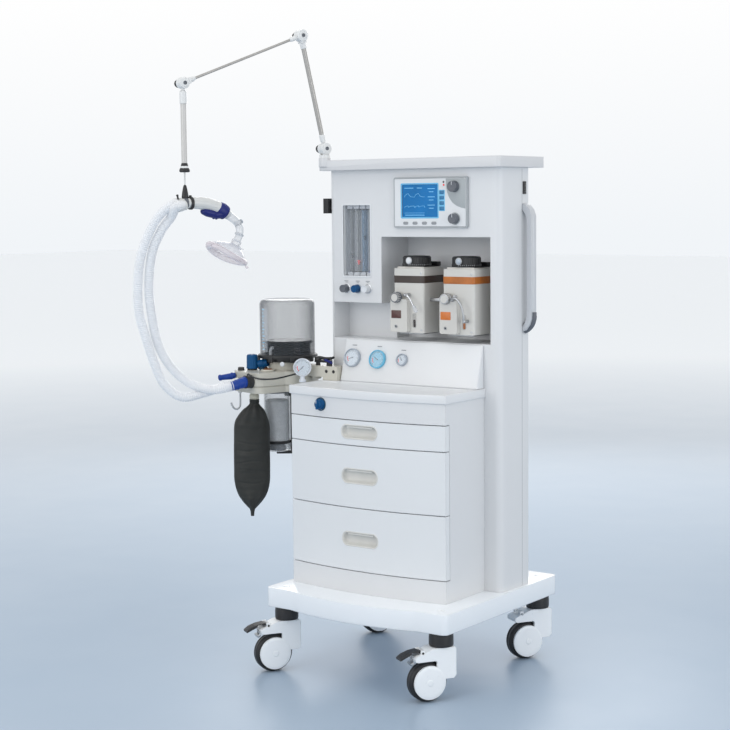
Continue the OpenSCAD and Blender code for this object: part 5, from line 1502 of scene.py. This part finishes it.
for key, (x, y) in CASTERS.items():
    caster = move(x, y) @ turn("Z", 57.9)
    lathe("caster_cover_" + key, [(27.2, 134.6), (29.4, 135.0, 1.5), (30.6, 138.5, 2.0),
                                  (30.6, 160, 5), (27.6, 170.3), (24, 170.4)],
          "caster_black", move(x, y), seg=72, angle=60)
    for letter, sign in SIDES:
        hub = caster @ move(-39.5, 23.05 * sign, 50) @ turn("X", -90 * sign)
        lathe("caster_disc_%s_%s" % (key, letter),
              [(0, 1.6), (14, 1.55), (33, 1.0), (38.5, 0.6), (41.2, -0.6, 0.8), (41.5, -1.6),
               (0, -1.6)], "caster_white", hub, "caster_" + key, seg=84, angle=60)
        lathe("caster_cap_%s_%s" % (key, letter),
              [(0, 2.9), (6.5, 2.7, 0.8), (8.6, 1.7, 0.6), (8.6, 0.8), (0, 0.8)],
              "caster_white", hub, "caster_" + key, seg=40, angle=60)
    wheel = caster @ to_front(-39.5, 0, 50)
    lathe("tread_" + key, [(49.2, -9.2), (50.0, -8.4, 0.4), (50.05, -0.7), (49.4, -0.3),
                           (49.4, 0.3), (50.05, 0.7), (50.0, 8.4, 0.4), (49.2, 9.2), (48.6, 0)],
          "tyre", wheel, "wheel_" + key, seg=96, angle=60)
    for letter, sign in SIDES:
        lathe("tyre_bead_%s_%s" % (key, letter),
              [(43.0, 15.3), (44.2, 16.1, 0.5), (45.6, 15.3), (45.0, 14.6)],
              "tyre", wheel @ turn("X", 0 if sign > 0 else 180), "wheel_" + key, seg=96,
              angle=60)
    if key in ("fl", "fr"):
        brake(key, caster, Vector((x, y, 0)))

# ---------------------------------------------- right side, seams and rear
box("side_vent_plate", (270.6, 272.6), (109, 121), (1240, 1264), 0.8, "black_gloss")
for k in range(3):
    box("side_socket_%d" % k, (272.0, 273.4), (111, 119), (1242 + 7.4 * k, 1247 + 7.4 * k), 0.5,
        "black_gloss")
for k, z in enumerate((902, 1194)):
    lathe("handle_screw_%d" % k, [(0, 0), (6, 0), (6, 1.4, 0.8), (3, 2.0, 0.4), (2.6, 1.2),
                                  (0, 1.0)],
          "black_plastic", move(270.0, 117, z) @ turn("Y", 90), seg=28)
tube("handle_elbow", [(270.5, 117, 886), (281, 117, 892), (291, 117, 903), (296.2, 117, 918),
                      (297, 117, 934)],
     lambda i, run: 8.0 if run < 50 else 7.4, "knob_grey", step=2.0, seg=20)
tube("handle_grip", [(290, 117, 934), (290, 117, 1000), (290, 117, 1100), (290, 117, 1172),
                     (287.5, 117, 1186), (281, 117, 1198), (271, 117, 1205)],
     8.2, "handle_grey", step=4.0, seg=24)
for name, xs in (("seam_right_low", (269.2, 269.62)), ("seam_left_low", (-269.62, -269.2))):
    box(name, xs, (104, 105.2), (222, 1300), 0.1, "seam_dark", seg=1)
for k, (x, y) in enumerate(CASTERS.values()):
    lathe("base_plug_%d" % k, [(0, 0), (9, 0), (8.6, 1.2, 0.6), (0, 2.0)], "caster_white",
          move(x, y, 220.4), seg=36)
for k in range(14):
    lathe("panel_screw_%d" % k, [(0, 0), (4.2, 0), (4.2, 1.0, 0.7), (1.8, 1.9, 0.4), (1.5, 1.2),
                                 (0, 1.1)],
          "screw_steel", to_rear(-244 if k % 2 else 244, 137.9, 250 + 160 * (k // 2)), seg=24)
for k, finish in enumerate(("knob_white", "monitor_white", "blue_cone")):
    inlet = to_rear(-120 + 45 * k, 138.2, 1010)
    lathe("inlet_ring_%d" % k, [(9.0, 3.0), (14.6, 3.0), (14.6, 6.4, 0.8), (12.6, 7.4, 0.6),
                                (9.0, 7.4)], finish, inlet)
    lathe("inlet_barb_%d" % k, [(8.05, 8), (8.5, 9, 0.3), (8.1, 12), (8.5, 13, 0.3), (8.1, 16),
                                (8.5, 17, 0.3), (8.1, 20), (8.05, 21)],
          "bright_metal", inlet, seg=36)
for side, x in (("r", 205), ("l", -205)):
    tube("cable_hook_" + side, [(x, 137, 800), (x, 158, 800), (x, 166, 806), (x, 167, 822)],
         4.2, "black_plastic", step=2.0, seg=16)
box("rear_label_plate", (-118, -20), (137.8, 139.0), (1046, 1082), 0.4, "monitor_white", seg=1)

# ------------------------------------------------------------------- floor
FLOOR_HALF = 30  # metres
mesh = bmesh.new()
for x, y in ((-1, -1), (1, -1), (1, 1), (-1, 1)):
    mesh.verts.new((x * FLOOR_HALF, y * FLOOR_HALF, 0))
mesh.faces.new(mesh.verts)
floor_data = bpy.data.meshes.new("floor")
mesh.to_mesh(floor_data)
mesh.free()
floor = bpy.data.objects.new("floor", floor_data)
scene.collection.objects.link(floor)
floor_mat = material("floor_pale", (0.36, 0.45, 0.555), rough=0.36, variation=0.01,
                     patch_scale=0.5, bump=0.0, grain_scale=700, bevel=0, spec=0.35)
# the floor pales and glows slightly from 1 m to 9 m out
tree = floor_mat.node_tree
shader = next(node for node in tree.nodes if node.type == "BSDF_PRINCIPLED")
position = add_node(tree, "ShaderNodeNewGeometry").outputs["Position"]
distance = add_node(tree, "ShaderNodeVectorMath", {0: position}, operation="LENGTH")
far = map_range(tree, distance.outputs["Value"], (1.0, 9.0))
near_color = shader.inputs["Base Color"].links[0].from_socket
tree.links.new(mix_color(tree, far, near_color, (0.95, 0.97, 0.985, 1)),
               shader.inputs["Base Color"])
glow = add_node(tree, "ShaderNodeMath", {0: far, 1: 0.05}, operation="MULTIPLY")
shader.inputs["Emission Color"].default_value = (0.95, 0.97, 1.0, 1)
tree.links.new(glow.outputs["Value"], shader.inputs["Emission Strength"])
floor.data.materials.append(floor_mat)

# ------------------------------------------------------------------- world
world = bpy.data.worlds.new("studio")
scene.world = world
world.use_nodes = True
tree = world.node_tree
tree.nodes.clear()
output = add_node(tree, "ShaderNodeOutputWorld")
coords = add_node(tree, "ShaderNodeTexCoord").outputs["Generated"]
height = add_node(tree, "ShaderNodeSeparateXYZ", {0: coords}).outputs["Z"]
height = map_range(tree, height, (-1, 1))
# one gradient lights the scene, a brighter one is seen by the camera
lit = add_node(tree, "ShaderNodeBackground", {
    "Color": color_ramp(tree, height, (0.47, (0.76, 0.79, 0.83)), (0.60, (0.93, 0.95, 0.97))),
    "Strength": 0.90})
seen = add_node(tree, "ShaderNodeBackground", {
    "Color": color_ramp(tree, height, (0.49, (0.88, 0.91, 0.94)), (0.56, (1, 1, 1)))})
camera_ray = add_node(tree, "ShaderNodeLightPath").outputs["Is Camera Ray"]
sky = add_node(tree, "ShaderNodeMixShader", {
    "Fac": camera_ray, 1: lit.outputs["Background"], 2: seen.outputs["Background"]})
tree.links.new(sky.outputs["Shader"], output.inputs["Surface"])


# ------------------------------------------------- lights, camera (metres)
def area_light(name, location, target, size, power, color=(1, 1, 1)):
    data = bpy.data.lights.new(name, "AREA")
    data.shape = "RECTANGLE"
    data.size, data.size_y = size
    data.energy = power
    data.color = color
    light = bpy.data.objects.new(name, data)
    scene.collection.objects.link(light)
    light.location = location
    light.rotation_mode = "QUATERNION"
    light.rotation_quaternion = (Vector(target) - Vector(location)).to_track_quat("-Z", "Y")


area_light("key", location=(-0.9, -4.0, 1.9), target=(0, 0, 0.75), size=(2.6, 2.2), power=36)
area_light("fill", location=(3.6, -0.8, 1.2), target=(0, 0, 0.6), size=(2.2, 2.2), power=25,
           color=(0.98, 0.99, 1))
area_light("top", location=(0.4, -1.2, 4.2), target=(0, 0, 0.9), size=(2.6, 2.6), power=12)
area_light("rim", location=(-1.8, 3.0, 2.2), target=(0, 0, 0.9), size=(2.4, 1.8), power=34)

CAMERA_PLACE = (2.45025, -3.59532, 1.21663)
# heading left of +Y, tilt down, roll
heading, tilt, roll = [math.radians(degrees) for degrees in (35.9173, 5.5376, -0.5654)]
look = Vector((-math.sin(heading) * math.cos(tilt), math.cos(heading) * math.cos(tilt),
               -math.sin(tilt)))
level_right = Vector((math.cos(heading), math.sin(heading), 0))
level_up = level_right.cross(look)
right = level_right * math.cos(roll) + level_up * math.sin(roll)
up = -level_right * math.sin(roll) + level_up * math.cos(roll)
camera_data = bpy.data.cameras.new("camera")
camera = bpy.data.objects.new("camera", camera_data)
scene.collection.objects.link(camera)
camera.matrix_world = (Matrix.Translation(CAMERA_PLACE)
                       @ Matrix((right, up, -look)).transposed().to_4x4())
camera_data.sensor_width = 36.0
camera_data.sensor_fit = "HORIZONTAL"
camera_data.lens = 82.328548
camera_data.clip_end = 100
scene.camera = camera
scene.view_settings.view_transform = "Standard"
scene.view_settings.look = "None"
scene.view_settings.exposure = 0.0

bpy.context.view_layer.update()
